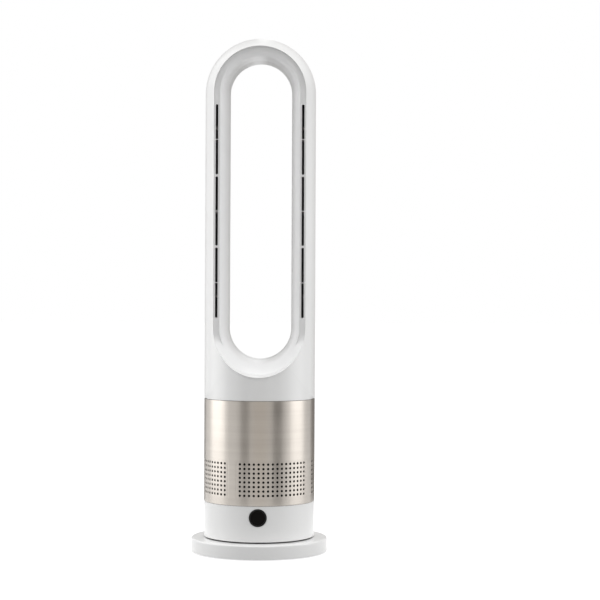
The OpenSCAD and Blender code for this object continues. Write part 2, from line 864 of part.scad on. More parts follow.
// Transformer, capacitors, relay, heat sink with fins and connectors
module main_parts() {
  top = main_board_z + board_t;
  transformer = [22, 20, 17];
  relay = [14, 10, 12];
  cap_r = 5;
  cap_h = 20;
  fin_t = 1.4;
  fin_h = 15;
  fin_l = 16;
  fin_pitch = 3;
  plug = [8, 14, 6];
  mid_x = main_board_x + main_board_w / 2;
  color("goldenrod") translate([mid_x - transformer[0] / 2, -transformer[1] / 2, top]) cube(transformer);
  color("black") for (i = [0, 1])
    translate([mid_x - relay[0] / 2 + i * 3 * cap_r, transformer[1] / 2 + 2 * cap_r, 0]) disc(cap_r, top, cap_h);
  color("royalblue") translate([mid_x - relay[0], -transformer[1] - over, top]) cube(relay);
  color("silver") translate([mid_x + fin_t, -transformer[1] - over, top]) {
    cube([3 * fin_pitch + fin_t, relay[1], fin_t]);
    for (i = [0 : 3]) translate([i * fin_pitch, 0, 0]) cube([fin_t, relay[1], fin_h]);
  }
  color("white") translate([mid_x - plug[0] / 2, -main_board_l / 2 + over, top]) cube([plug[0], plug[2], plug[1] / 2]);
}

module board_screws() {
  color("silver") main_posts() screw_down(main_board_z + board_t, board_t + screw_hold / 2);
}

module deck_plate() {
  color("dimgray") difference() {
    union() {
      disc(core_fit_r, deck_z, deck_t);
      for (i = [0 : 7]) rotate([0, 0, i * 45 + 22.5]) translate([hub_r / 2, -rib_t / 2, deck_z - deck_rib_h])
        cube([core_fit_r - hub_r / 2 - 2 * core_foot_w, rib_t, deck_rib_h + over]);
      disc(hub_r / 2 + rib_t, deck_z - deck_rib_h, deck_rib_h + over);
    }
    disc(hub_r / 2, deck_z - deck_rib_h - over, deck_rib_h + over);
    around(4, band_boss_ring_r, band_boss_start_deg) disc(screw_pass_r, deck_z - over, deck_t + 2 * over);
    translate([main_board_x + main_board_w / 2, 0, 0]) disc(grommet_barrel_r, deck_z - over, deck_t + 2 * over);
  }
}

module deck_screws() {
  color("silver") around(4, band_boss_ring_r, band_boss_start_deg)
    screw_down(band_top + core_foot_t, core_foot_t + deck_t + screw_hold / 2);
}

module intake_sleeve() {
  color("tan") difference() {
    translate([0, 0, sleeve_bottom]) difference() {
      cylinder(r = tower_r, h = sleeve_top - sleeve_bottom, $fn = 180);
      translate([0, 0, -over]) cylinder(r = tower_r - sleeve_wall, h = sleeve_top, $fn = 180);
    }
    window_columns() for (row = [0 : hole_rows - 1])
      translate([tower_r - sleeve_wall - over, 0, hole_first_z + row * hole_row_pitch])
        rotate([0, 90, 0]) cylinder(d = hole_d, h = sleeve_wall + 2 * over, $fn = 16);
  }
}

// Every column of holes in every window
module window_columns() {
  for (w = [0 : window_count - 1], c = [0 : hole_columns - 1])
    rotate([0, 0, w * 360 / window_count + window_turn_deg - 90 + (c - (hole_columns - 1) / 2) * hole_pitch_deg])
      children();
}

module intake_core() {
  reach = core_r + 2 * over;
  color("dimgray") difference() {
    union() {
      tube(core_r, core_in_r, band_top, sleeve_top - band_top);
      tube(core_r - over, core_in_r - core_foot_w, band_top, core_foot_t);
      tube(core_r - over, core_in_r - ledge_w, ledge_z, ledge_t);
      tube(core_r - over, core_in_r - ledge_w / 2, collar_z - ledge_t, ledge_t);
    }
    for (w = [0 : window_count - 1]) rotate([0, 0, w * 360 / window_count + window_turn_deg - 90])
      window_cuts(reach);
    around(4, band_boss_ring_r, band_boss_start_deg) disc(screw_pass_r, band_top - over, core_foot_t + 2 * over);
    around(4, blower_ring_r, band_boss_start_deg) disc(screw_hole_r, ledge_z - over, ledge_t + 2 * over);
    around(4, 0) translate([0, 0, collar_screw_z]) rotate([0, 90, 0]) {
      cylinder(r = screw_pass_r, h = reach);
      translate([0, 0, core_r - screw_head_h - play]) cylinder(r = screw_head_r + slip, h = reach);
    }
  }
}

// One window of the core: three openings with upright bars between them
module window_cuts(reach) {
  third = 2 * window_half_deg / 3;
  bar_deg = window_bar_w / core_r * 180 / PI;
  for (i = [-1 : 1]) {
    half = (third - bar_deg) / 2;
    rotate([0, 0, i * third]) translate([0, 0, window_low]) linear_extrude(window_high - window_low)
      polygon([[0, 0], [reach * cos(half), -reach * sin(half)], [reach * 1.05, 0],
               [reach * cos(half), reach * sin(half)]]);
  }
}

module bucket_seal() {
  color("black") difference() {
    tube(core_fit_r, core_in_r - ledge_w, seal_z, seal_t);
    around(4, blower_ring_r, band_boss_start_deg) disc(screw_pass_r, seal_z - over, seal_t + 2 * over);
  }
}

module inlet_ring() {
  mouth = inlet_r + bell_r;
  bell = [for (i = [0 : 6]) [mouth - bell_r * cos(90 - 15 * i), inlet_z + bell_r - bell_r * sin(90 - 15 * i)]];
  back_r = bell_r - inlet_t;
  back = [for (i = [6 : -1 : 0]) [mouth - back_r * cos(90 - 15 * i), inlet_z + bell_r - back_r * sin(90 - 15 * i)]];
  color("ivory") difference() {
    union() {
      rotate_extrude() polygon(concat(bell, back));
      tube(core_fit_r, mouth - fit, inlet_z, inlet_t);
      tube(inlet_r + inlet_t + rib_t + fit, inlet_r + inlet_t - fit, inlet_z + inlet_t, bell_r - inlet_t);
    }
    around(4, blower_ring_r, band_boss_start_deg) disc(screw_pass_r, inlet_z - over, inlet_t + 2 * over);
  }
}

module blower_dampers() {
  color("black") around(4, blower_ring_r, band_boss_start_deg)
    tube(damper_r, screw_pass_r, inlet_z + inlet_t, damper_h);
}

module blower_screws() {
  color("silver") around(4, blower_ring_r, band_boss_start_deg)
    screw_down(inlet_z + inlet_t + damper_h, damper_h + inlet_t + seal_t + ledge_t);
}

// Inner radius of the shroud at a share of its height, from the inlet to the duct
function shroud_r(t) = inlet_r + (duct_r - inlet_r) * (1 - cos(180 * min(1, t))) / 2;

// Radius of the impeller's hub at a share of its height
function hub_curve_r(t) = nose_r + (hub_r - nose_r) * (1 - cos(180 * min(1, t))) / 2;

module impeller_shroud() {
  inner = [for (i = [0 : shroud_steps]) [shroud_r(i / shroud_steps), shroud_z + shroud_h * i / shroud_steps]];
  outer = [for (i = [shroud_steps : -1 : 0])
           [shroud_r(i / shroud_steps) + duct_wall, shroud_z + shroud_h * i / shroud_steps]];
  color("ivory") difference() {
    union() {
      rotate_extrude() polygon(concat(inner, [[duct_r, shroud_top], [duct_r + duct_wall, shroud_top]], outer));
      tube(duct_r + duct_wall + flange_w, duct_r + duct_wall / 2, shroud_top - flange_t, flange_t);
    }
    around(4, duct_screw_ring_r) disc(screw_pass_r, shroud_top - flange_t - over, flange_t + 2 * over);
  }
}

module impeller() {
  top = impeller_z + impeller_h;
  steps = [for (i = [0 : hub_steps]) i / hub_steps];
  hollow_r = hub_curve_r(hub_hollow_r_share) - hub_wall;
  hub = [for (t = steps) [hub_curve_r(t), impeller_z + impeller_h * t]];
  color("darkgray") difference() {
    union() {
      rotate_extrude() polygon(concat([[0, impeller_z]], hub, [[0, top]]));
      intersection() {
        for (b = [0 : blade_count - 1]) rotate([0, 0, b * 360 / blade_count]) translate([0, 0, impeller_z + over])
          linear_extrude(impeller_h - 2 * over) blade_outline();
        rotate_extrude() polygon(concat([[0, impeller_z]], blade_edge(), [[0, top]]));
      }
    }
    disc(shaft_r + fit, impeller_z - over, impeller_h + 2 * over);
    tube(hollow_r, 2 * shaft_r + blade_t, top - impeller_h * hub_hollow_share, impeller_h);
  }
}

// Half section of the space that the blades fill, a tip gap inside the shroud
function blade_edge() = [[inlet_r - tip_gap, impeller_z], [inlet_r - tip_gap, shroud_z],
  [shroud_r(1 / 6) - tip_gap, shroud_z + shroud_h / 6], [shroud_r(1 / 2) - 2 * tip_gap, shroud_z + shroud_h / 2],
  [shroud_r(5 / 6) - tip_gap, shroud_z + shroud_h * 5 / 6], [duct_r - tip_gap, shroud_z + shroud_h],
  [duct_r - tip_gap, impeller_z + impeller_h]];

// Plan of one backward-swept blade
module blade_outline() {
  edge = [for (i = [0 : blade_steps]) let (t = i / blade_steps) [blade_root_r + (duct_r - blade_root_r) * t, t]];
  function at(p, side) = let (a = -blade_sweep_deg * p[1] + side * blade_t / 2 / p[0] * 180 / PI)
    [p[0] * cos(a), p[0] * sin(a)];
  polygon(concat([for (p = edge) at(p, -1)], [for (i = [blade_steps : -1 : 0]) at(edge[i], 1)]));
}

module impeller_nut() {
  color("silver") difference() {
    translate([0, 0, impeller_z - nut_h]) cylinder(r = nut_r, h = nut_h, $fn = 6);
    disc(shaft_r + fit, impeller_z - nut_h - over, nut_h + 2 * over);
  }
}

module motor_shaft() {
  color("silver") disc(shaft_r, shaft_bottom, shaft_top - shaft_bottom);
}

module rotor_magnet() {
  color("gray") tube(rotor_r - air_gap, shaft_r + fit, stator_z, stator_h);
}

module diffuser() {
  color("ivory") difference() {
    union() {
      tube(duct_r + duct_wall, duct_r, diffuser_z, vane_h);
      tube(duct_r + duct_wall + flange_w, duct_r + duct_wall / 2, diffuser_z, flange_t);
      tube(hub_r + hub_wall, hub_r, hub_floor_z, diffuser_top - hub_floor_z);
      disc(hub_r + hub_wall / 2, hub_floor_z, hub_floor_t);
      intersection() {
        around(vane_count, (hub_r + duct_r) / 2)
          translate([0, 0, diffuser_z + vane_h / 2]) rotate([vane_tilt_deg, 0, 0])
            cube([2 * (duct_r - hub_r), vane_t, vane_h], center = true);
        tube(duct_r + duct_wall / 2, hub_r + hub_wall / 2, diffuser_z + over, vane_h - 2 * over);
      }
    }
    disc(hub_hole_r, hub_floor_z - over, hub_floor_t + 2 * over);
    around(4, duct_screw_ring_r) disc(screw_hole_r, diffuser_z - over, flange_t + 2 * over);
    around(3, motor_screw_ring_r) disc(screw_pass_r, hub_floor_z - over, hub_floor_t + 2 * over);
  }
}

module motor_can() {
  color("silver") difference() {
    union() {
      tube(motor_r, motor_r - motor_wall, motor_z, motor_h);
      disc(motor_r - motor_wall / 2, motor_z, motor_floor_t);
      tube(bearing_r + bearing_wall, bearing_r + fit, motor_z, motor_floor_t + bearing_h);
    }
    disc(shaft_r + over, motor_z - over, motor_floor_t + 2 * over);
    around(3, motor_screw_ring_r) disc(screw_hole_r, motor_z - over, motor_floor_t + 2 * over);
  }
}

module motor_endbell() {
  color("silver") {
    tube(motor_r, shaft_r + over, motor_top, motor_floor_t);
    tube(bearing_r + bearing_wall, bearing_r + fit, motor_top - bearing_h, bearing_h);
    tube(motor_r - motor_wall - fit, motor_r - 2 * motor_wall, motor_top - motor_wall, motor_wall);
  }
}

module stator_core() {
  outer = motor_r - motor_wall - fit;
  color("gray") translate([0, 0, stator_z]) linear_extrude(stator_h) {
    difference() {
      circle(r = outer);
      circle(r = outer - stator_ring_w);
    }
    intersection() {
      for (i = [0 : stator_teeth - 1]) rotate([0, 0, i * 360 / stator_teeth])
        translate([rotor_r, -stator_tooth_w / 2]) square([outer - stator_ring_w / 2 - rotor_r, stator_tooth_w]);
      circle(r = outer - stator_ring_w / 2);
    }
  }
}

module stator_coils() {
  inner_w = stator_tooth_w + 2 * slip;
  length = motor_r - motor_wall - stator_ring_w - rotor_r - 2 * coil_inset;
  color("chocolate") for (i = [0 : stator_teeth - 1]) rotate([0, 0, i * 360 / stator_teeth])
    translate([rotor_r + coil_inset, 0, stator_z + stator_h / 2]) rotate([90, 0, 90]) linear_extrude(length)
      difference() {
        square([inner_w + 2 * coil_t, stator_h + 2 * slip + 2 * coil_t], center = true);
        square([inner_w, stator_h + 2 * slip], center = true);
      }
}

module motor_bearings() {
  color("silver") for (z = [motor_z + motor_floor_t, motor_top - bearing_h])
    tube(bearing_r, shaft_r + fit, z, bearing_h);
}

module motor_screws() {
  color("silver") around(3, motor_screw_ring_r)
    screw_up(hub_floor_z - screw_head_h, hub_floor_t + motor_floor_t);
  color("silver") around(4, duct_screw_ring_r)
    screw_up(shroud_top - flange_t - screw_head_h, 2 * flange_t);
}

module bullet_cap() {
  outer_r = hub_r + hub_wall;
  skin = [for (i = [0 : bullet_steps]) let (a = 90 * i / bullet_steps)
          [outer_r * cos(a), diffuser_top + bullet_h * sin(a)]];
  inside = [for (i = [bullet_steps : -1 : 0]) let (a = 90 * i / bullet_steps)
            [(outer_r - bullet_wall) * cos(a), diffuser_top + (bullet_h - bullet_wall) * sin(a)]];
  color("ivory") {
    rotate_extrude() polygon(concat(skin, inside));
    tube(hub_r - slip, hub_r - slip - bullet_wall, diffuser_top - bullet_wall, 2 * bullet_wall);
  }
}

module neck_collar() {
  color("dimgray") difference() {
    union() {
      tube(core_fit_r, core_fit_r - collar_wall, collar_z, collar_h);
      tube(core_fit_r - over, collar_in_r, sleeve_top - collar_ledge_t, collar_ledge_t);
    }
    around(4, neck_screw_ring_r, band_boss_start_deg)
      disc(screw_pass_r, sleeve_top - collar_ledge_t - over, collar_ledge_t + 2 * over);
    around(4, 0) translate([0, 0, collar_screw_z]) rotate([0, 90, 0]) cylinder(r = screw_hole_r, h = tower_r);
  }
}

module collar_screws() {
  tip_r = core_fit_r - collar_wall - over;
  color("silver") around(4, 0) translate([0, 0, collar_screw_z]) rotate([0, 90, 0]) {
    translate([0, 0, tip_r]) cylinder(r = screw_r, h = core_r - tip_r - play);
    translate([0, 0, core_r - screw_head_h - play]) cylinder(r = screw_head_r, h = screw_head_h);
  }
}

module neck_gasket() {
  color("black") difference() {
    tube(core_fit_r, collar_in_r, sleeve_top, neck_gap);
    around(4, neck_screw_ring_r, band_boss_start_deg) disc(screw_pass_r, sleeve_top - over, neck_gap + 2 * over);
  }
}

module neck_screws() {
  color("silver") around(4, neck_screw_ring_r, band_boss_start_deg)
    screw_up(sleeve_top - collar_ledge_t - screw_head_h, collar_ledge_t + neck_gap + screw_hold);
}

// Upright capsule: a cylinder closed by a half sphere at the crown
module capsule(r, z0) {
  translate([0, 0, z0]) cylinder(r = r, h = crown_z - z0, $fn = 180);
  translate([0, 0, crown_z]) sphere(r = r, $fn = 180);
}

// Half of a large block, in front of the seam (side -1) or behind it (side 1)
module half_space(side) {
  size = 2 * tower_r;
  translate([-size, side > 0 ? seam / 2 : -size - seam / 2, 0]) cube([2 * size, size, overall_h + over]);
}

// Half turn of a section (half width, y) around an axis along Y, below z for side -1, above for side 1
module arch(z, side) {
  translate([0, 0, z]) mirror([0, 0, side > 0 ? 1 : 0]) rotate([-90, 0, 0]) rotate_extrude(angle = 180, $fn = 180)
    children();
}

// The same section run up both legs
module legs(z0, z1) {
  for (side = [0, 1]) mirror([side, 0, 0]) translate([0, 0, z0]) linear_extrude(z1 - z0) children();
}

// A section swept round the whole opening
module round_opening(top) {
  arch(opening_low, -1) children();
  legs(opening_low, top) children();
  arch(top, 1) children();
}

// Front of the rim and its flare towards the lower lip, a distance out from the opening
function rim_line(out) = [[rim_half + lip_flare + out, -tower_r - over], [rim_half + out, bowl_y],
                          [rim_half + out, flange_back_y]];

// Funnel from the crown of its section to the throat's end, a wall inside the surface
function throat_curve(wall) = [for (i = [0 : curve_steps]) let (a = 90 * (1 - i / curve_steps))
  [channel_in - (channel_in - throat_half - wall) * cos(a), (crown_y + wall) * sin(a)]];

// Shoulder between the lower lip and the crown of the section
function bowl_curve() = [for (i = [0 : bowl_steps - 1]) let (a = 90 * (1 - i / bowl_steps))
  [channel_in + (bowl_out - channel_in) * sin(a), bowl_y + (crown_y - bowl_y) * cos(a)]];

// Section of everything inside the shells' opening
module rim_section() {
  polygon(concat([[0, -tower_r - over]], rim_line(0), [[rim_half, flange_back_y + over], [0, flange_back_y + over]]));
}

module rim_lip_section() {
  out = rim_line(rim_flange_t);
  polygon(concat(rim_line(-slip), [out[2], out[1], out[0]]));
}

// Section of the short flange that stands inside the rim, its front sunk in the shell's wall
module rim_flange_section() {
  outer = rim_half + rim_flange_t;
  outer_y = -sqrt(tower_r * tower_r - outer * outer);
  polygon([[rim_half - slip, rim_face_y + 0.4 * loop_wall], [outer, outer_y + 0.2 * loop_wall],
           [outer, flange_back_y], [rim_half - slip, flange_back_y]]);
}

// Section of the funnel's wall without the channel
module funnel_section() {
  polygon(concat(throat_curve(0), [[throat_half, throat_end_y], [throat_half + liner_wall, throat_end_y]],
                 [for (i = [curve_steps : -1 : 0]) throat_curve(liner_wall)[i]]));
}

// Section of the shoulder that fills the channel round the lower arc, sunk in the channel's side and floor
module bowl_section() {
  sunk = liner_wall / 2;
  polygon(concat(bowl_curve(), [[channel_in, crown_y], [channel_in - sunk, crown_y + sunk],
                                [channel_in - sunk, channel_floor_y + sunk], [bowl_out, channel_floor_y + sunk]]));
}

// Section of the recessed channel: its inner side and its floor
module channel_section() {
  polygon([[channel_in - liner_wall, crown_y + liner_wall / 2], [channel_in, crown_y], [channel_in, channel_floor_y],
           [channel_out, channel_floor_y], [channel_out, channel_back_y], [channel_in - liner_wall, channel_back_y]]);
}

// Section of the open funnel
module funnel_void() {
  polygon(concat([[0, -tower_r - over], [rim_half, -tower_r - over], [rim_half, crown_y], [channel_in, crown_y]],
                 throat_curve(0), [[throat_half, throat_end_y + over], [0, throat_end_y + over]]));
}

// Outer wall of the loop on one side of the seam
module outer_wall(side) {
  intersection() {
    difference() {
      capsule(tower_r, loop_bottom);
      capsule(loop_in_r, loop_bottom - over);
    }
    half_space(side);
  }
}

// Half of the flange at the foot of the loop, with its screw bosses
module neck_flange(side) {
  intersection() {
    difference() {
      union() {
        tube(loop_in_r + over, collar_in_r, loop_bottom, neck_flange_t);
        around(4, neck_screw_ring_r, band_boss_start_deg) disc(boss_r, loop_bottom, neck_flange_t + boss_depth);
      }
      around(4, neck_screw_ring_r, band_boss_start_deg)
        disc(screw_hole_r, loop_bottom - over, boss_depth + over);
    }
    half_space(side);
  }
}

// Heights and sides of the lugs that join the two shells
module lug_places() {
  for (share = lug_shares, side = [-1, 1]) translate([side * lug_x, 0, slit_low + share * slit_len]) children();
}

module loop_front_shell() {
  color("white") difference() {
    union() {
      outer_wall(-1);
      neck_flange(-1);
      legs(opening_low, rim_top) rim_flange_section();
      arch(rim_top, 1) rim_flange_section();
      intersection() {
        arch(opening_low, -1) rim_lip_section();
        disc(loop_in_r + loop_wall / 2, loop_bottom, opening_low - loop_bottom + over);
      }
      intersection() {
        for (share = lug_shares, side = [0, 1]) mirror([side, 0, 0])
          translate([lug_x - lug_in, -lug_t - seam / 2, slit_low + share * slit_len - lug_h / 2])
            cube([tower_r, lug_t, lug_h]);
        capsule(loop_in_r + loop_wall / 2, loop_bottom);
      }
    }
    round_opening(rim_top) rim_section();
    lug_places() bar_y(screw_pass_r, -tower_r / 4, 0);
  }
}

// Section of the rear shell's inner wall, a distance out from its surface
function rear_curve(wall) = concat([[throat_half + wall, rear_start_y]],
  [for (i = [0 : curve_steps]) let (a = 90 * i / curve_steps)
     [rear_rim_half - (rear_rim_half - rear_half - wall) * cos(a),
      rear_narrow_y + (rear_rim_y - wall - rear_narrow_y) * sin(a)]]);

module rear_wall_section() {
  back = rear_curve(loop_wall);
  end_half = rear_rim_half + rear_flare;
  polygon(concat(rear_curve(0), [[end_half, tower_r + over], [end_half + loop_wall, tower_r + over],
                                 [rear_rim_half + loop_wall, rear_rim_y]],
                 [for (i = [len(back) - 1 : -1 : 0]) back[i]]));
}

module rear_void() {
  polygon(concat([[0, -tower_r], [throat_half, -tower_r]], rear_curve(0),
                 [[rear_rim_half + rear_flare, tower_r + over], [0, tower_r + over]]));
}

module loop_rear_shell() {
  color("white") difference() {
    union() {
      outer_wall(1);
      neck_flange(1);
      intersection() {
        round_opening(throat_top) rear_wall_section();
        capsule(tower_r, loop_bottom);
      }
      intersection() {
        lug_places() bar_y(shell_boss_r, seam / 2, tower_r);
        capsule(loop_in_r + loop_wall / 2, loop_bottom);
      }
    }
    round_opening(throat_top) rear_void();
    lug_places() bar_y(screw_hole_r, 0, boss_depth);
  }
}

module loop_screws() {
  head_y = -lug_t - seam / 2;
  color("silver") lug_places() {
    bar_y(screw_head_r, head_y - screw_head_h, head_y);
    bar_y(screw_r, head_y - screw_head_h, screw_hold);
  }
}

module loop_liner() {
  color("gainsboro") difference() {
    union() {
      round_opening(rim_top) leg_section();
      lower_bowl();
      straight_throat();
    }
    arch(rim_top, 1) funnel_void();
    top_throat_void();
    slit_cuts(channel_floor_y - over, channel_back_y + over, slit_w / 2);
  }
}

module leg_section() {
  funnel_section();
  channel_section();
}

// The bowl round the lower arc, between the channel's two ends
module lower_bowl() {
  translate([0, 0, opening_low]) rotate([-90, 0, 0]) rotate([0, 0, channel_end_deg])
    rotate_extrude(angle = 180 - 2 * channel_end_deg, $fn = 180) bowl_section();
}

// Straight wall where the taller throat cuts into the top of the funnel
module straight_throat() {
  difference() {
    union() {
      legs(rim_top, throat_top) throat_strip(liner_wall);
      arch(throat_top, 1) throat_strip(liner_wall);
    }
    arch(rim_top, 1) translate([0, -tower_r]) square([throat_half, tower_r]);
  }
}

module throat_strip(wall) {
  translate([straight_half, crown_y / 2]) square([wall, throat_end_y - crown_y / 2]);
}

module top_throat_void() {
  legs(rim_top, throat_top) throat_hole();
  arch(throat_top, 1) throat_hole();
}

module throat_hole() {
  translate([0, -tower_r]) square([straight_half, tower_r + throat_end_y + over]);
}

// The slits, as blocks of a half width from y0 to y1 with the bridges left standing
module slit_cuts(y0, y1, half) {
  bounds = concat([0], bridge_shares, [1]);
  for (side = [-1, 1], i = [0 : len(bounds) - 2]) {
    low = slit_low + bounds[i] * slit_len + (i > 0 ? bridge_h / 2 : 0);
    high = slit_low + bounds[i + 1] * slit_len - (i < len(bounds) - 2 ? bridge_h / 2 : 0);
    translate([side * slit_x - half, y0, low]) cube([2 * half, y1 - y0, high - low]);
  }
}

// Dark air guide behind one slit: a slotted block with small ribs across the slot
module nozzle(side) {
  half = slit_w / 2;
  difference() {
    translate([side * slit_x - half - nozzle_lip, channel_back_y, slit_low - nozzle_end])
      cube([slit_w + 2 * nozzle_lip, nozzle_depth, slit_len + 2 * nozzle_end]);
    difference() {
      translate([side * slit_x - half, channel_back_y - over, slit_low])
        cube([slit_w, nozzle_depth + 2 * over, slit_len]);
      for (share = concat(rib_shares, bridge_shares))
        translate([side * slit_x - slit_w, channel_back_y + rib_set_back, slit_low + share * slit_len - rib_h / 2])
          cube([2 * slit_w, nozzle_depth, rib_h]);
    }
  }
}

module nozzle_left() {
  color("black") nozzle(-1);
}

module nozzle_right() {
  color("black") nozzle(1);
}

base_cover();
base_floor();
counterweight();
rubber_feet();
base_screws();
cord_grommet();
spindle();
spindle_screws();
thrust_washer();
sector_gear();
retaining_ring();
ball_cage();
bearing_balls();
turntable();
turntable_screws();
swing_motor();
swing_screws();
swing_shaft();
swing_pinion();
control_band();
key_bezel();
power_key();
key_board();
key_parts();
key_screws();
main_board();
main_parts();
board_screws();
deck_plate();
deck_screws();
intake_sleeve();
intake_core();
bucket_seal();
inlet_ring();
blower_dampers();
blower_screws();
impeller_shroud();
impeller();
impeller_nut();
motor_shaft();
rotor_magnet();
diffuser();
motor_can();
motor_endbell();
stator_core();
stator_coils();
motor_bearings();
motor_screws();
bullet_cap();
neck_collar();
collar_screws();
neck_gasket();
neck_screws();
loop_front_shell();
loop_rear_shell();
loop_liner();
nozzle_left();
nozzle_right();
loop_screws();
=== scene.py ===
# %% [markdown]
# A bladeless tower fan stands on a weighted round base. A white band and a perforated metal sleeve carry a
# tall hollow loop, and air leaves two long slits inside it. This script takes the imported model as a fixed
# frame, makes finer meshes for what shows, gives every surface a finish, and lights it as in a small studio.

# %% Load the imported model
import json
import math
import bmesh
import bpy
from mathutils import Matrix, Vector

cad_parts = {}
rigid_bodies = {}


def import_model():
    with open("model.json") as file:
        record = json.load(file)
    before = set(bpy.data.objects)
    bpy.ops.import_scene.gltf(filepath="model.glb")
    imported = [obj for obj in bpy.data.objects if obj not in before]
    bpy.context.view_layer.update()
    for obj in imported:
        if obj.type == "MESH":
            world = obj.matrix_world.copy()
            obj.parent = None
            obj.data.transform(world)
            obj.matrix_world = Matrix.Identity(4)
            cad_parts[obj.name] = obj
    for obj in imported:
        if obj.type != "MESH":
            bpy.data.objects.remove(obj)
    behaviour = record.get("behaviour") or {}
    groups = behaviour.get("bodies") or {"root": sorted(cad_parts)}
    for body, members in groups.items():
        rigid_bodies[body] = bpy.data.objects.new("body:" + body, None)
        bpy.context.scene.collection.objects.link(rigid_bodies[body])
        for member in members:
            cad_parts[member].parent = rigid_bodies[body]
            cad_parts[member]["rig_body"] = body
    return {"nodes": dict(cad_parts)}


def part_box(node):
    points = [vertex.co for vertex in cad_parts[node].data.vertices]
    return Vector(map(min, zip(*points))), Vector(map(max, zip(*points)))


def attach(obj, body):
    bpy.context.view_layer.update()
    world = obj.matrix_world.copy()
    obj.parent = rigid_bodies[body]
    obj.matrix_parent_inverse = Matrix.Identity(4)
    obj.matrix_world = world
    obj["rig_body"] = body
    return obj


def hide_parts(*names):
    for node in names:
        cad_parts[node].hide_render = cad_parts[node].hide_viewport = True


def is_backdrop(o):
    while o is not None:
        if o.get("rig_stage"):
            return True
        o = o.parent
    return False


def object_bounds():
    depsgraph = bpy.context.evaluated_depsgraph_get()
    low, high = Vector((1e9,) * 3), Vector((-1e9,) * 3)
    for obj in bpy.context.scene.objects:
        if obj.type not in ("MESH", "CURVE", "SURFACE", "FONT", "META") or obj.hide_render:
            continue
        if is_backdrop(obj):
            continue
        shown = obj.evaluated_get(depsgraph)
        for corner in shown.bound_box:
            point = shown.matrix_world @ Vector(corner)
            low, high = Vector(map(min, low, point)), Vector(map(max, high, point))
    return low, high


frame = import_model()
cad_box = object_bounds()
mm = 0.001
scene = bpy.context.scene

# %% [markdown]
# Sizes are in millimetres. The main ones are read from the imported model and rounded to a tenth, so the fine
# meshes fit it. Only what its boxes can't tell, such as an edge or a wall, is written beside the piece.


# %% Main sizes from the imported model
def measured(node):
    """A part's lowest and highest corners in millimetres."""
    return [[round(c / mm, 1) for c in corner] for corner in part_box(node)]


(_, _, base_low), (base_r, _, base_top) = measured("base_cover")
(_, _, band_low), (band_r, _, band_top) = measured("control_band")
(_, ring_y, ring_low), (_, _, ring_high) = measured("key_bezel")
(_, key_y, _), _ = measured("power_key")
(_, _, sleeve_low), (sleeve_r, _, sleeve_top) = measured("intake_sleeve")
(_, _, nozzle_low), (_, _, nozzle_high) = measured("nozzle_left")
(_, _, neck_z), (tower_r, _, overall_h) = measured("loop_front_shell")
_, (_, liner_end, _) = measured("loop_liner")
key_z = round((ring_low + ring_high) / 2, 1)
crown_z = overall_h - tower_r
print("base", base_r, "band", band_r, "sleeve", sleeve_r, "loop", tower_r, "height", overall_h)

# %% [markdown]
# The picture looks taken from about three metres with a long lens, level with the middle of the fan and a
# little to its right. Straight edges stay almost parallel in it, so the lens and the distance matter more
# than the exact height. The camera leans a quarter of a degree, as the picture does.

# %% Camera
eye_place, eye_lean = (0.0754, -3.100, 0.4734), -0.25
eye = bpy.data.cameras.new("portrait_lens")
eye.sensor_width = 36
eye.lens = 98.51
camera = bpy.data.objects.new("portrait_camera", eye)
scene.collection.objects.link(camera)
lean = Matrix.Rotation(math.radians(eye_lean), 4, "Y")
level_view = Matrix.Rotation(math.radians(90), 4, "X")
camera.matrix_world = Matrix.Translation(eye_place) @ lean @ level_view
scene.camera = camera
scene.view_settings.view_transform = "Standard"
print("camera at", [round(c, 3) for c in camera.location])

# %% [markdown]
# Every finish is a small graph of nodes. Real mouldings and metals are never even, so noise in the object's
# own space moves the colour and roughness a little and raises a fine grain. These helpers place nodes and
# link them, so that a finish reads as a short list of what it is made of.


# %% Helpers for finishes
def new_finish(name):
    """A material with its node tree and its shader."""
    finish = bpy.data.materials.new(name)
    finish.use_nodes = True
    return finish, finish.node_tree, finish.node_tree.nodes["Principled BSDF"]


def add_node(tree, kind, **settings):
    """A node, with its inputs or its properties set by name."""
    node = tree.nodes.new(kind)
    for key, value in settings.items():
        if key in node.inputs:
            node.inputs[key].default_value = value
        else:
            setattr(node, key, value)
    return node


def grain(tree, scale, detail, stretch=(1, 1, 1)):
    """Noise in the object's own space, stretched along its axes."""
    place = add_node(tree, "ShaderNodeTexCoord")
    mapping = add_node(tree, "ShaderNodeMapping", Scale=stretch)
    noise = add_node(tree, "ShaderNodeTexNoise", Scale=scale, Detail=detail, Roughness=0.6)
    tree.links.new(place.outputs["Object"], mapping.inputs["Vector"])
    tree.links.new(mapping.outputs["Vector"], noise.inputs["Vector"])
    return noise


def spread(tree, source, low, high):
    """The noise, which lies mostly between 0.3 and 0.7, as a value between low and high."""
    ranged = add_node(tree, "ShaderNodeMapRange")
    ranged.inputs["From Min"].default_value = 0.3
    ranged.inputs["From Max"].default_value = 0.7
    ranged.inputs["To Min"].default_value = low
    ranged.inputs["To Max"].default_value = high
    tree.links.new(source, ranged.inputs["Value"])
    return ranged.outputs["Result"]


def tint(tree, source, dark, light):
    """A colour between two close shades, led by the noise."""
    mix = add_node(tree, "ShaderNodeMix", data_type="RGBA")
    mix.inputs[6].default_value = (*dark, 1)
    mix.inputs[7].default_value = (*light, 1)
    tree.links.new(source, mix.inputs[0])
    return mix.outputs[2]


def raise_grain(tree, shader, source, depth, strength):
    """Bump from the noise, its depth in millimetres."""
    bump = add_node(tree, "ShaderNodeBump", Strength=strength, Distance=depth * mm)
    tree.links.new(source, bump.inputs["Height"])
    tree.links.new(bump.outputs["Normal"], shader.inputs["Normal"])


finishes = {}

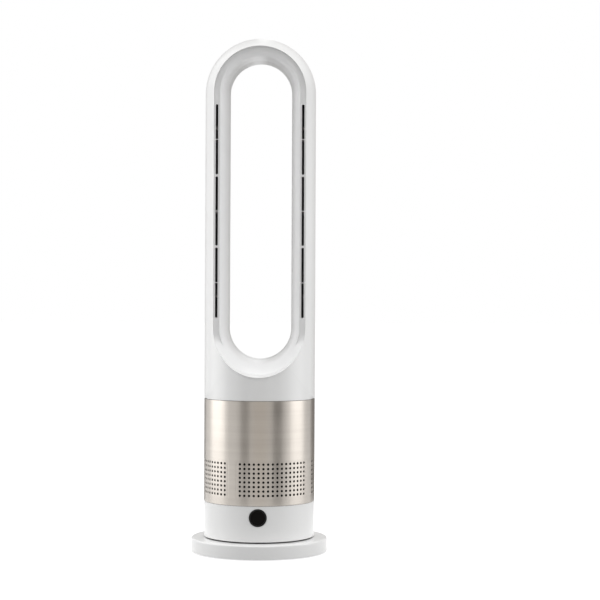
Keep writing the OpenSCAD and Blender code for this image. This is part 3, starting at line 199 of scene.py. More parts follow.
# %% [markdown]
# The white mouldings are glossy ABS. A mould polished to a satin leaves a very fine texture, and the plastic
# holds a trace of flow: patches a hand wide that differ by about one part in fifty. So one slow noise leads
# the colour, a second one the roughness, and a third, very fine one raises the skin by less than a hundredth
# of a millimetre. The darker and the coloured mouldings are made alike with their own shades.


# %% Moulded plastics
def moulded(slot, colour, roughness, texture=900, skin=0.02, gloss=0.5, uneven=0.02, patchy=0.012):
    """A moulded plastic for a slot; texture is how fine its skin is, and skin how strongly it shows."""
    finish, tree, shader = new_finish(slot + "_finish")
    flow = grain(tree, 9, 2).outputs["Fac"]
    fine = grain(tree, texture, 3).outputs["Fac"]
    patches = grain(tree, 22, 1).outputs["Fac"]
    low = [c * (1 - uneven) for c in colour]
    tree.links.new(tint(tree, spread(tree, flow, 0, 1), low, colour), shader.inputs["Base Color"])
    tree.links.new(spread(tree, patches, roughness - patchy, roughness + patchy), shader.inputs["Roughness"])
    shader.inputs["Specular IOR Level"].default_value = gloss
    raise_grain(tree, shader, fine, 0.02, skin)
    finishes[slot] = finish


moulded("white_plastic", (0.83, 0.83, 0.825), 0.30)
# The liner's plastic is set lighter than the white shells: painted light that brightens its funnel, which the
# lamps reach less.
moulded("pale_grey_plastic", (0.92, 0.92, 0.92), 0.34)
moulded("black_plastic", (0.006, 0.006, 0.006), 0.45, gloss=0.3)
moulded("dark_plastic", (0.016, 0.016, 0.017), 0.50, texture=600, skin=0.08)
moulded("ivory_plastic", (0.62, 0.59, 0.50), 0.42)
moulded("impeller_plastic", (0.10, 0.10, 0.11), 0.40)
moulded("board_parts", (0.05, 0.05, 0.06), 0.45)
moulded("rubber", (0.012, 0.012, 0.012), 0.75, texture=500, skin=0.2, gloss=0.25)
print("plastics:", sorted(finishes))

# %% [markdown]
# The key is a glossy black disc in a slightly duller ring, and both look almost black from the front. Their
# black leans towards brown, and a low specular level keeps the pale room from greying them.

# %% Black of the key
moulded("black_gloss", (0.0042, 0.0032, 0.0027), 0.22, texture=300, skin=0.01, gloss=0.05)
moulded("bezel_black", (0.0060, 0.0054, 0.0050), 0.28, texture=700, skin=0.05, gloss=0.20)

# %% [markdown]
# The sleeve is thin stainless sheet in a champagne tone, brushed round its circumference. The brush leaves
# scratches that run level round the fan, so a highlight spreads up and down and stands as an upright streak.
# Noise stretched round the sleeve gives the scratches, and an anisotropic gloss turned a quarter from the
# level tangent gives the streak.

# %% Brushed sheet metal
steel, tree, shader = new_finish("sleeve_metal_finish")
scratches = grain(tree, 1.0, 4, (7, 7, 1500)).outputs["Fac"]
bands = grain(tree, 1.0, 2, (3, 3, 160)).outputs["Fac"]
cloud = grain(tree, 14, 2).outputs["Fac"]
tree.links.new(tint(tree, spread(tree, bands, 0, 1), (0.397, 0.368, 0.336), (0.424, 0.394, 0.360)),
               shader.inputs["Base Color"])
tree.links.new(spread(tree, cloud, 0.30, 0.36), shader.inputs["Roughness"])
shader.inputs["Metallic"].default_value = 1.0
shader.inputs["Anisotropic"].default_value = 0.35
shader.inputs["Anisotropic Rotation"].default_value = 0.25
level = add_node(tree, "ShaderNodeTangent", direction_type="RADIAL", axis="Z")
tree.links.new(level.outputs["Tangent"], shader.inputs["Tangent"])
raise_grain(tree, shader, scratches, 0.02, 0.25)
finishes["sleeve_metal"] = steel

# %% [markdown]
# The other metals are small and mostly inside: turned screws and shafts, a cast counterweight, the zinc
# plated motor shell, stacked iron and copper wire. Each has a grain of its own size, and copper and iron get
# their windings and layers from noise pressed flat along one axis.


# %% Metals inside
def metal(slot, dark, light, roughness, scale, stretch=(1, 1, 1), relief=0.15):
    """A metal for a slot, from two shades and the size of its marks."""
    finish, tree, shader = new_finish(slot + "_finish")
    marks = grain(tree, scale, 4, stretch).outputs["Fac"]
    tree.links.new(tint(tree, spread(tree, marks, 0, 1), dark, light), shader.inputs["Base Color"])
    tree.links.new(spread(tree, marks, roughness - 0.06, roughness + 0.06), shader.inputs["Roughness"])
    shader.inputs["Metallic"].default_value = 1.0
    raise_grain(tree, shader, marks, 0.04, relief)
    finishes[slot] = finish


metal("screw_steel", (0.46, 0.46, 0.47), (0.58, 0.58, 0.59), 0.30, 400, (1, 1, 6))
metal("ground_steel", (0.55, 0.55, 0.56), (0.66, 0.66, 0.67), 0.20, 300, (1, 1, 8))
metal("motor_shell", (0.42, 0.43, 0.44), (0.52, 0.53, 0.54), 0.34, 120)
metal("stator_steel", (0.20, 0.20, 0.21), (0.30, 0.30, 0.31), 0.42, 1, (40, 40, 2400), 0.4)
metal("copper", (0.55, 0.22, 0.11), (0.72, 0.34, 0.18), 0.32, 1, (60, 60, 2000), 0.6)
metal("ballast_iron", (0.07, 0.07, 0.075), (0.12, 0.12, 0.125), 0.62, 90, relief=0.5)

# %% Circuit board
green, tree, shader = new_finish("board_green_finish")
tracks = grain(tree, 260, 2).outputs["Fac"]
tree.links.new(tint(tree, spread(tree, tracks, 0, 1), (0.010, 0.060, 0.022), (0.018, 0.095, 0.035)),
               shader.inputs["Base Color"])
tree.links.new(spread(tree, tracks, 0.28, 0.40), shader.inputs["Roughness"])
raise_grain(tree, shader, tracks, 0.03, 0.3)
finishes["board_green"] = green

# %% Every part of the frame takes the finish of its slot
for name, part in sorted(frame["nodes"].items()):
    slot = part.material_slots[0].material.name.split(".")[0]
    part.material_slots[0].material = finishes[slot]
print("finishes:", len(finishes))

# %% [markdown]
# The holes of the sleeve look black, because little light gets in and what lies behind them swallows it. The
# blower's housing and the core of the intake are therefore given a matt black, painted shade that keeps the
# holes dark, and the wide gaps round the motor stay dark.

# %% Parts behind the holes, painted black as shade
# Painted shade: these parts are set matt black so that the holes in the sleeve stay dark.
for name in ("inlet_ring", "impeller_shroud", "intake_core", "diffuser", "bucket_seal", "deck_plate"):
    frame["nodes"][name].material_slots[0].material = finishes["black_plastic"]
    print(name, "is matt black")

# %% [markdown]
# Shapes are written in millimetres and turned into meshes here. A piece gets smooth shading, keeps the edges
# that are really sharp, and weights its normals by area, so that a small round edge doesn't bend the light
# on the flat face beside it. It rides on the body of the part that it stands for, and hides that part.


# %% Helpers for meshes
sharp_angle, weld_gap = math.radians(33), 0.004 * mm


def add_piece(name, points, faces, slot, node, body=None):
    """A piece from points in millimetres, in place of a node, or on a body where it replaces none."""
    mesh = bpy.data.meshes.new(name)
    mesh.from_pydata([(x * mm, y * mm, z * mm) for x, y, z in points], [], faces)
    weld = bmesh.new()
    weld.from_mesh(mesh)
    bmesh.ops.remove_doubles(weld, verts=weld.verts, dist=weld_gap)
    bmesh.ops.recalc_face_normals(weld, faces=weld.faces)
    weld.to_mesh(mesh)
    weld.free()
    mesh.shade_smooth()
    mesh.set_sharp_from_angle(angle=sharp_angle)
    piece = bpy.data.objects.new(name, mesh)
    scene.collection.objects.link(piece)
    mesh.materials.append(finishes[slot])
    even = piece.modifiers.new("even_normals", "WEIGHTED_NORMAL")
    even.keep_sharp = True
    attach(piece, body or frame["nodes"][node]["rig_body"])
    if node:
        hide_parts(node)
    size = [round((max(p[i] for p in points) - min(p[i] for p in points)), 1) for i in range(3)]
    print(name, len(mesh.polygons), "faces,", size, "mm")
    return piece


def unit(a, b):
    """The direction from a to b, and the distance."""
    length = math.hypot(b[0] - a[0], b[1] - a[1])
    return ((b[0] - a[0]) / length, (b[1] - a[1]) / length, length)


def rounded(corners, steps=4, closed=True):
    """A line through corners (a, b, radius), where each corner with a radius becomes a small arc.

    It also gives the place of each corner's first point in that line.
    """
    line, starts = [], []
    for i, (a, b, radius) in enumerate(corners):
        starts.append(len(line))
        if radius == 0 or (not closed and i in (0, len(corners) - 1)):
            line.append((a, b))
            continue
        ux, uy, ul = unit((a, b), corners[i - 1])
        vx, vy, vl = unit((a, b), corners[(i + 1) % len(corners)])
        half = math.acos(max(-1.0, min(1.0, ux * vx + uy * vy))) / 2
        back = min(radius / math.tan(half), 0.45 * ul, 0.45 * vl)
        for k in range(steps + 1):
            t = k / steps
            p, q = (1 - t) ** 2, t ** 2
            line.append((a + back * (p * ux + q * vx), b + back * (p * uy + q * vy)))
    return line, starts


def evenly(line, count):
    """The same line as count points at equal distances."""
    along = [0.0]
    for p, q in zip(line, line[1:]):
        along.append(along[-1] + math.dist(p, q))
    made, j = [], 0
    for k in range(count):
        want = along[-1] * k / (count - 1)
        while j < len(line) - 2 and along[j + 1] < want:
            j += 1
        share = (want - along[j]) / max(1e-12, along[j + 1] - along[j])
        made.append(tuple(a + (b - a) * share for a, b in zip(line[j], line[j + 1])))
    return made


def wrap(rings, closed=True, ring_closed=True, skip=()):
    """Faces between rings of equal length, each point taken in order."""
    count, size = len(rings), len(rings[0])
    faces = []
    for i in range(count if closed else count - 1):
        for j in range(size if ring_closed else size - 1):
            if (i, j) not in skip:
                n, m = (i + 1) % count, (j + 1) % size
                faces.append((i * size + j, i * size + m, n * size + m, n * size + j))
    return faces


# %% [markdown]
# The base is a heavy disc with a softly rounded top edge. It is a surface of revolution, so its half section
# is drawn once and turned round the upright axis. A shallow pocket at the back, with a hole for the grommet,
# is then cut from it with a boolean, whose result is kept as the mesh.


# %% Turned pieces
def turned(section, steps=256, axis="Z"):
    """Rings of a section (radius, along the axis) turned round Z, or round Y at the key's height."""
    rings = []
    for i in range(steps):
        a = 2 * math.pi * i / steps
        if axis == "Z":
            rings.append([(r * math.cos(a), r * math.sin(a), h) for r, h in section])
        else:
            rings.append([(r * math.cos(a), h, key_z + r * math.sin(a)) for r, h in section])
    return rings


base_wall, base_hole, flat_to, top_edge, foot_edge = 3.0, 32.0, base_r - 14, 3.5, 0.8
inner_r, inner_top = base_r - base_wall, base_top - base_wall
section, _ = rounded([(base_hole, base_top, 0), (flat_to, base_top, 0), (base_r, base_top, top_edge),
                      (base_r, base_low, foot_edge), (inner_r, base_low, 0), (inner_r, inner_top, 0),
                      (base_hole, inner_top, 0)], 8)
rings = turned(section)
base = add_piece("base_shell", sum(rings, []), wrap(rings), "white_plastic", "base_cover")


# %% Pocket and hole at the back of the base
def cutter(name, outline, near, far):
    """A solid to cut with: an outline (x, z) drawn out along Y from near to far."""
    count = len(outline)
    ends = [tuple(range(count)), tuple(range(2 * count - 1, count - 1, -1))]
    sides = [(i, (i + 1) % count, count + (i + 1) % count, count + i) for i in range(count)]
    mesh = bpy.data.meshes.new(name)
    mesh.from_pydata([(x * mm, y * mm, z * mm) for y in (near, far) for x, z in outline], [], ends + sides)
    tool = bpy.data.objects.new(name, mesh)
    scene.collection.objects.link(tool)
    return tool


def cut(piece, *tools):
    """The piece with the tools cut away, as a mesh that needs no modifier for it."""
    for tool in tools:
        step = piece.modifiers.new("cut", "BOOLEAN")
        step.operation, step.object, step.solver = "DIFFERENCE", tool, "EXACT"
    shape = bpy.data.meshes.new_from_object(piece.evaluated_get(bpy.context.evaluated_depsgraph_get()))
    piece.modifiers.clear()
    piece.data = shape
    shape.set_sharp_from_angle(angle=sharp_angle)
    piece.modifiers.new("even_normals", "WEIGHTED_NORMAL").keep_sharp = True
    for tool in tools:
        bpy.data.objects.remove(tool)


grommet_z, grommet_r, pocket_x, pocket_z, pocket_edge = 14.5, 5.8, 10.0, 9.5, 2.0
pocket_floor, hole_end, outside = base_r - 1, base_r - 10, base_r + 12
square, _ = rounded([(x * pocket_x, grommet_z + z * pocket_z, pocket_edge)
                     for x, z in ((-1, -1), (1, -1), (1, 1), (-1, 1))], 6)
turns = [math.radians(a) for a in range(0, 360, 8)]
circle = [(grommet_r * math.cos(a), grommet_z + grommet_r * math.sin(a)) for a in turns]
cut(base, cutter("pocket", square, pocket_floor, outside), cutter("hole", circle, hole_end, outside))
print("base_shell after the cuts:", len(base.data.polygons), "faces")

# %% [markdown]
# The control band is a plain white ring with one round hole in front for the key. A boolean would leave long
# thin faces there that shade badly, so the band is built from a grid instead: a square patch holds rings of
# points that change from a square to a circle, and the hole's lip is rounded so that it catches the light.

# %% Control band
band_in, band_edge, band_waist = band_r - 2.5, 0.9, 42.0
patch, hole_r = 20.0, 16.4
hole_lip = ((1.8, 0), (0.55, 0), (0.22, 0.10), (0, 0.42), (0, 2.6))


def on_band(x, z, depth=0.0):
    """A point on the front of the band, or that far behind its skin."""
    return (x, -math.sqrt(band_r ** 2 - x * x) + depth, z)


def square_ring(half, steps=8):
    """Points on a square, at the same angles as those of round_ring."""
    made = []
    for k in range(4 * steps):
        a = math.radians(k * 90 / steps)
        longest = max(abs(math.cos(a)), abs(math.sin(a)))
        made.append((half * math.cos(a) / longest, half * math.sin(a) / longest))
    return made


def round_ring(radius, steps=8):
    """Points on a circle, at equal angles."""
    return [(radius * math.cos(math.radians(k * 90 / steps)), radius * math.sin(math.radians(k * 90 / steps)))
            for k in range(4 * steps)]


def band_corner(z, side):
    """The rounded edge of the band, the upper one for side 1 and the lower one for side -1."""
    angles = [math.radians(a) for a in (0, 22, 45, 68, 90)]
    return [(band_r - band_edge + band_edge * math.sin(a), z - side * (band_edge - band_edge * math.cos(a)))
            for a in angles[::side]]


patch_rings = [[on_band(x, key_z + z) for x, z in square_ring(patch)]]
for beyond, depth in hole_lip:
    patch_rings.append([on_band(x, key_z + z, depth) for x, z in round_ring(hole_r + beyond)])
points, faces = sum(patch_rings, []), wrap(patch_rings, closed=False)
marks = sorted({round(z, 6) for x, z in square_ring(patch)})
patch_turn, rest_steps = math.asin(patch / band_r), 116
turns = sorted([math.asin(x / band_r) for x in marks]
               + [patch_turn + 2 * (math.pi - patch_turn) * i / rest_steps for i in range(1, rest_steps)])
skin = ([(band_in, band_top)] + band_corner(band_top, 1) + [(band_r, key_z + z) for z in reversed(marks)]
        + [(band_r, band_waist)] + band_corner(band_low, -1) + [(band_in, band_low), (band_in, band_low + 4)])
front = {round(math.asin(x / band_r), 9) for x in marks}
for i, a in enumerate(turns):
    b = turns[(i + 1) % len(turns)]
    for (r0, z0), (r1, z1) in zip(skin, skin[1:]):
        in_turn = round(a, 9) in front and round(b, 9) in front
        in_height = abs(z0 - key_z) <= patch + 0.01 and abs(z1 - key_z) <= patch + 0.01
        if not (in_turn and in_height):
            start = len(points)
            corners = ((r0, z0, a), (r0, z0, b), (r1, z1, b), (r1, z1, a))
            points += [(r * math.sin(t), -r * math.cos(t), z) for r, z, t in corners]
            faces.append((start, start + 1, start + 2, start + 3))
add_piece("band_shell", points, faces, "white_plastic", "control_band")

# %% [markdown]
# The key and its ring are turned round the axis that points at the viewer. The ring stands half a millimetre
# proud of the band. The key lies just inside it, with a shallow groove that reads as a faint inner circle.

# %% Power key and its ring
ring_r, ring_in, ring_deep = 16.1, 13.55, 4.5
section, _ = rounded([(ring_r, ring_y + ring_deep, 0), (ring_r, ring_y, 0.6), (ring_in, ring_y, 0.5),
                      (ring_in, ring_y + ring_deep, 0)], 5)
rings = turned(section, 128, "Y")
add_piece("key_ring", sum(rings, []), wrap(rings), "bezel_black", "key_bezel")
key_r, key_deep, groove, groove_in, groove_out = 13.4, 3.2, 0.15, 9.4, 11.0
section, _ = rounded([(0.0, key_y - 0.02, 0), (groove_in, key_y, 0.4), (groove_in + 0.5, key_y + groove, 0.3),
                      (groove_out - 0.5, key_y + groove, 0.3), (groove_out, key_y, 0.4), (key_r, key_y, 0.5),
                      (key_r, key_y + key_deep, 0)], 4, closed=False)
rings = turned(section, 128, "Y")
add_piece("key_cap", sum(rings, []), wrap(rings, ring_closed=False), "black_gloss", "power_key")

# %% [markdown]
# The sleeve has 512 punched holes in four windows. Each hole sits in a cell of the grid: sixteen points on
# the cell's square edge join sixteen on the hole, then a small rolled lip, then the thickness of the sheet.
# Neighbouring cells share their edge points, so the sheet stays one clean surface. A fine pressed line stands
# upright beside each window.

# %% Perforated sleeve
windows, window_turn, row_count, column_count = 4, 17.6, 8, 16
column_step, row_step, first_row, hole_half = 4.83, 8.19, 115.2, 2.3
sheet, lip_h, plain_from = 0.8, 0.6, 184.0
spots = (-1.0, -math.tan(math.radians(22.5)), 0.0, math.tan(math.radians(22.5)), 1.0)
hole_rings = ((None, 0), (hole_half + 0.12, 0), (hole_half + 0.04, 0.05), (hole_half, 0.16),
              (hole_half, sheet))
pressed = ((1.0, 0), (1.2, 0.22), (1.35, 0.22), (1.5, 0.22), (1.7, 0))
plain_edge = 3.2
sheet_lip = ((0.0, lip_h), (0.05, 0.32), (0.16, 0.13), (0.34, 0.03), (0.6, 0.0), (1.4, 0.0), (1.4, 4.0))


def on_sleeve(degrees, z, depth=0.0):
    """A point on the sleeve by its angle and height, or that far inside it."""
    a = math.radians(degrees)
    return ((sleeve_r - depth) * math.cos(a), (sleeve_r - depth) * math.sin(a), z)


cell_rows = [first_row + r * row_step for r in range(row_count)]
row_levels = sorted({round(c + row_step / 2 * s, 5) for c in cell_rows for s in spots})
low_levels = [sleeve_low + lip_h, 100.0, 104.5, 109.0]
plain_h = sleeve_top - lip_h - plain_from
high_levels = [178.6, plain_from] + [plain_from + plain_h * i / 8 for i in range(1, 9)]
levels = low_levels + row_levels + high_levels
points, faces = [], []


def quad(*corners):
    """One face of the sleeve with points of its own; the piece welds them later."""
    start = len(points)
    points.extend(corners)
    faces.append(tuple(range(start, start + len(corners))))


def hole_ring(column, row, reach, depth):
    """Sixteen points round a hole, on a circle of that reach or on the edge of the hole's cell."""
    ring = []
    for k in range(16):
        t = math.radians(22.5 * k)
        if reach is None:
            longest = max(abs(math.cos(t)), abs(math.sin(t)))
            du, dz = column_step / 2 * math.cos(t) / longest, row_step / 2 * math.sin(t) / longest
        else:
            du, dz = math.degrees(reach * math.cos(t) / sleeve_r), reach * math.sin(t)
        ring.append(on_sleeve(column + du, row + dz, depth))
    return ring


def beside_window(z):
    """1 in the height of the windows, 0 above and below, where the pressed lines end."""
    return 1.0 if row_levels[0] - 0.01 <= z <= row_levels[-1] + 0.01 else 0.0


strips = []
window_half = column_count / 2 * column_step
for w in range(windows):
    middle = 90 * w + window_turn - 90
    cells = [middle + (c - (column_count - 1) / 2) * column_step for c in range(column_count)]
    columns = sorted({round(c + column_step / 2 * s, 6) for c in cells for s in spots})
    for a, b in zip(columns, columns[1:]):
        for z0, z1 in zip(levels, levels[1:]):
            if z1 <= row_levels[0] + 1e-4 or z0 >= row_levels[-1] - 1e-4:
                quad(on_sleeve(a, z0), on_sleeve(b, z0), on_sleeve(b, z1), on_sleeve(a, z1))
    for c in cells:
        for z in cell_rows:
            rings = [hole_ring(c, z, reach, depth) for reach, depth in hole_rings]
            start = len(points)
            points.extend(sum(rings, []))
            faces.extend(tuple(start + n for n in f) for f in wrap(rings, closed=False))
    strips.append((middle + window_half, middle + 90 - window_half))

for a0, a1 in strips:
    places = [(a0, 0)] + [(a0 + p, d) for p, d in pressed] + [(a0 + plain_edge, 0), ((a0 + a1) / 2, 0)]
    places += [(a1 - plain_edge, 0)] + [(a1 - p, d) for p, d in reversed(pressed)] + [(a1, 0)]
    for (a, da), (b, db) in zip(places, places[1:]):
        for z0, z1 in zip(levels, levels[1:]):
            low, high = beside_window(z0), beside_window(z1)
            quad(on_sleeve(a, z0, da * low), on_sleeve(b, z0, db * low),
                 on_sleeve(b, z1, db * high), on_sleeve(a, z1, da * high))

lowest = [(x, y) for x, y, z in points if abs(z - levels[0]) < 1e-6]
around = sorted({round(math.degrees(math.atan2(y, x)) % 360, 5) for x, y in lowest})
for a, b in zip(around, around[1:] + [around[0] + 360]):
    for end, side in ((sleeve_low, 1), (sleeve_top, -1)):
        for (d0, h0), (d1, h1) in zip(sheet_lip, sheet_lip[1:]):
            quad(on_sleeve(a, end + side * h0, d0), on_sleeve(b, end + side * h0, d0),
                 on_sleeve(b, end + side * h1, d1), on_sleeve(a, end + side * h1, d1))
add_piece("sleeve_sheet", points, faces, "sleeve_metal", "intake_sleeve")

# %% [markdown]
# Through the holes one looks at the windows of the intake core. A thin black tube with a slight ripple lies
# in them, a dark sheet that paints the shade behind the holes.

# %% Black tube in the windows of the intake core, as painted shade
shade_tube_r, shade_tube_wall, shade_tube_low, shade_tube_high, ripple, shade_tube_rows = 101.6, 0.5, 104.0, 180.0, 0.15, 40
rings = []
for i in range(360):
    a = math.radians(i)
    section = [(shade_tube_r - ripple * ((i + j) % 2), shade_tube_low + (shade_tube_high - shade_tube_low) * j / shade_tube_rows)
               for j in range(shade_tube_rows + 1)]
    section += [(shade_tube_r - shade_tube_wall, shade_tube_high), (shade_tube_r - shade_tube_wall, shade_tube_low)]
    rings.append([(r * math.cos(a), r * math.sin(a), z) for r, z in section])
# The tube is painted shade: a black sheet put behind the holes of the sleeve.
add_piece("shade_tube", sum(rings, []), wrap(rings), "rubber", None, "tower")

# %% [markdown]
# The loop is an upright capsule with a funnel cut through it. Sweeping one section round the opening suits
# every one of its pieces. A station is a direction out from the opening's middle line: downwards round the
# lower arc, sideways along the legs, upwards round the top. In each station the section is a flat outline of
# distance out and depth, and its outer line is found on the capsule itself, so the sweep meets the seam, the
# crown and the neck exactly.

# %% Stations round the opening
low_z, half_seam, arc_step, leg_steps = 420.0, 0.1, 3, 36


def stations(top, marks=()):
    """All stations in order, as (height, out to the side, out upwards), with extra ones at the marks."""
    corner = math.degrees(math.atan2(low_z - neck_z, tower_r))
    low = sorted({float(a) for a in range(180, 361, arc_step)} | {180 + corner, 360 - corner})
    heights = {round(low_z + (top - low_z) * i / leg_steps, 4) for i in range(1, leg_steps)}
    heights = sorted(heights | set(marks))
    turn = lambda z, a: (z, math.cos(math.radians(a)), math.sin(math.radians(a)))
    return ([turn(low_z, a) for a in low] + [(z, 1.0, 0.0) for z in heights]
            + [turn(top, a) for a in range(0, 181, arc_step)] + [(z, -1.0, 0.0) for z in reversed(heights)])


def skin_depth(station, out, radius):
    """Depth of the capsule's surface where a station has gone out that far."""
    z0, dx, dz = station
    above = max(0.0, z0 + out * dz - crown_z)
    return math.sqrt(max(0.0, radius ** 2 - (out * dx) ** 2 - above ** 2))


def skin_end(station, start, radius):
    """How far out the surface reaches the seam, or the foot of the neck."""
    z0, dx, dz = station
    far = (z0 - neck_z) / -dz if dz < -1e-6 else 3 * radius
    if skin_depth(station, far, radius) > half_seam:
        return far
    low, high = start, far
    for _ in range(60):
        middle = (low + high) / 2
        low, high = (middle, high) if skin_depth(station, middle, radius) > half_seam else (low, middle)
    return (low + high) / 2


def skin_line(station, start, radius, side, count):
    """Points on the surface from a distance out to its end, evenly spaced."""
    end = skin_end(station, start, radius)
    fine = []
    for k in range(301):
        out = end - (end - start) * (1 - k / 300) ** 2
        fine.append((out, side * max(half_seam, skin_depth(station, out, radius))))
    return evenly(fine, count)


def place(station, out, depth):
    """The point of the fan at a station's distance out and depth."""
    z0, dx, dz = station
    return (out * dx, depth, z0 + out * dz)


print("stations round the opening:", len(stations(crown_z)))

# %% [markdown]
# The front shell is a C in plan, open in front. At its rim the skin turns in with a small round edge that
# draws the bright outline of the opening. Round the lower arc the rim stands further forward, flares into a
# lip and gains a thin bead.

# %% Front shell of the loop
shell_wall, rim_width, rim_half, rim_back = 3.0, 2.5, 85.3, -49.6
rim_top = crown_z - 2.5
lip_flare, flare_run, bowl_y, bead_high = 3.7, 37.0, -68.0, 1.1
edge_start, edge_out, edge_in, seam_edge = 1.3, 1.1, 0.9, 0.35


def ease(x, low, high):
    """0 below low, 1 above high, and a soft step between them."""
    t = max(0.0, min(1.0, (x - low) / (high - low)))
    return t * t * (3 - 2 * t)


def rim_point(station):
    """Where the rim lies on the capsule: it moves out as it stands further forward."""
    out = rim_half
    for _ in range(30):
        depth = -skin_depth(station, out, tower_r)
        out = rim_half + lip_flare * max(0.0, (bowl_y - depth) / flare_run)
    return out, depth


def front_ring(station):
    """The section of the front shell at a station: skin, rim, inner wall and back of the skin."""
    out, depth = rim_point(station)
    bead = bead_high * ease(-station[2], 0.3, 0.75)
    outer = skin_line(station, out + edge_start, tower_r, -1, 30)
    inner = skin_line(station, out + rim_width, tower_r - shell_wall, -1, 10)
    under, over = (-skin_depth(station, out + step, tower_r) for step in (edge_out, edge_in))
    corners = [(*outer[-1], seam_edge)] + [(*p, 0) for p in reversed(outer[:-1])]
    corners += [(out + edge_out, under, 0), (out + edge_in, over - bead, 0.2), (out, depth - bead, 0.6)]
    corners += [(rim_half, max(bowl_y, depth + 4), 0), (rim_half, rim_back, 0)]
    corners += [(rim_half + rim_width, rim_back + 0.1, 0)] + [(*p, 0) for p in inner]
    line, _ = rounded(corners, 5)
    return [place(station, *p) for p in line]


rings = [front_ring(s) for s in stations(rim_top)]
add_piece("loop_front_skin", sum(rings, []), wrap(rings), "white_plastic", "loop_front_shell")

# %% [markdown]
# The rear shell closes the back. Its inner wall goes on from the funnel's throat, narrows a little and then
# opens towards the rear rim. Seen from the front it is the thin bright line inside the throat.

# %% Rear shell of the loop
throat_half, rear_half, rear_start = 61.0, 58.6, liner_end + 0.2
throat_top = crown_z + 5
curve_out, curve_y, curve_end, mouth_half = 72.5, 45.0, 76.5, 76.5


def rear_wall(wall):
    """The inner wall, or the face behind it when a wall is given: narrow, then a quarter curve outwards."""
    arc = [math.radians(a) for a in range(0, 91, 6)]
    wide, deep = curve_out - rear_half - wall, curve_end - wall - curve_y
    return ([(throat_half + wall, rear_start)]
            + [(curve_out - wide * math.cos(a), curve_y + deep * math.sin(a)) for a in arc]
            + [(mouth_half + wall, tower_r + 1)])


def up_to_skin(station, line, radius):
    """A line that runs outwards, ended where it meets the surface."""
    made = [line[0]]
    for p, q in zip(line, line[1:]):
        if q[1] >= skin_depth(station, q[0], radius):
            low, high = 0.0, 1.0
            for _ in range(50):
                t = (low + high) / 2
                h, y = p[0] + (q[0] - p[0]) * t, p[1] + (q[1] - p[1]) * t
                low, high = (t, high) if y < skin_depth(station, h, radius) else (low, t)
            return made + [(h, y)]
        made.append(q)
    return made


def rear_ring(station):
    """The section of the rear shell at a station: skin, inner wall and the backs of both."""
    wall = evenly(up_to_skin(station, rear_wall(0), tower_r), 24)
    back = evenly(up_to_skin(station, rear_wall(shell_wall), tower_r - shell_wall), 10)
    outer = skin_line(station, wall[-1][0], tower_r, 1, 30)
    inner = skin_line(station, back[-1][0], tower_r - shell_wall, 1, 10)
    corners = [(*outer[-1], seam_edge)] + [(*p, 0) for p in reversed(outer[1:-1])] + [(*wall[-1], 0.9)]
    corners += [(*p, 0) for p in reversed(wall[1:-1])] + [(*wall[0], 0.4)]
    corners += [(*p, 0) for p in back] + [(*p, 0) for p in inner[1:]]
    line, _ = rounded(corners, 5)
    return [place(station, *p) for p in line]


rings = [rear_ring(s) for s in stations(throat_top)]
add_piece("loop_rear_skin", sum(rings, []), wrap(rings), "white_plastic", "loop_rear_shell")

# %% [markdown]
# The funnel liner lies inside the rim. A narrow channel with the air slits runs up both legs just inside the
# rim and grows shallow over the top, and the funnel curves from the channel's crest to the throat. Round the
# lower arc the channel fades and its floor rises into a broad bowl, so the sections are mixed by how far the
# station points down or up. At the top the throat sits higher than the rim, so its end of the section is
# lifted. A thin rib crosses each of the six slits halfway.

# %% Slits as stations and marks
slit_low, slit_high = nozzle_low + 4, nozzle_high - 4
slit_mid, slit_half, slit_tip, bridge = 80.0, 2.3, 1.1, 4.0
third = (slit_high - slit_low) / 3
slit_ends = [slit_low, slit_low + third - bridge / 2, slit_low + third + bridge / 2,
             slit_low + 2 * third - bridge / 2, slit_low + 2 * third + bridge / 2, slit_high]
slit_spans = list(zip(slit_ends[::2], slit_ends[1::2]))
end_round = ((0.0, slit_tip), (0.35, 1.75), (0.9, 2.15), (1.8, slit_half))
slit_marks = sorted({round(a + d, 4) for a, b in slit_spans for d, _ in end_round}
                    | {round(b - d, 4) for a, b in slit_spans for d, _ in end_round})


def slit_width(z):
    """Half width of the slit at a height, with its ends rounded."""
    for a, b in slit_spans:
        if a - 1e-3 <= z <= b + 1e-3:
            near = min(z - a, b - z)
            for (d0, w0), (d1, w1) in zip(end_round, end_round[1:]):
                if near <= d1:
                    return w0 + (w1 - w0) * max(0.0, near - d0) / (d1 - d0)
            return slit_half
    return slit_tip


print("slits:", [(round(a), round(b)) for a, b in slit_spans])

# %% Funnel liner
crest, crest_y, floor_y, back_y, liner_wall, straight_from = 75.2, -57.1, -53.1, -50.6, 2.5, 7.5
liner_out, gutter_out, gutter_in = rim_half + 0.25, 83.6, 76.4


def funnel(wall, degrees):
    """A point of the funnel's quarter curve, at 0 degrees in the throat, or that of its back."""
    a = math.radians(degrees)
    return (crest - (crest - throat_half - wall) * math.cos(a), (crest_y + wall) * math.sin(a))


def scoop_line(count):
    """A soft slope from the lip into the funnel, as a curve of four handles."""
    handles = ((crest + 10.25, bowl_y), (80.0, -63.7), (67.56, -49.15), funnel(0, 48))
    made = []
    for i in range(count):
        t = i / (count - 1)
        share = ((1 - t) ** 3, 3 * t * (1 - t) ** 2, 3 * t * t * (1 - t), t ** 3)
        made.append(tuple(sum(s * h[k] for s, h in zip(share, handles)) for k in (0, 1)))
    return made


def mixed(line, other, share):
    """Each point of a line moved by a share of the way to the other line."""
    return [tuple(a + (b - a) * share for a, b in zip(p, q)) for p, q in zip(line, other)]


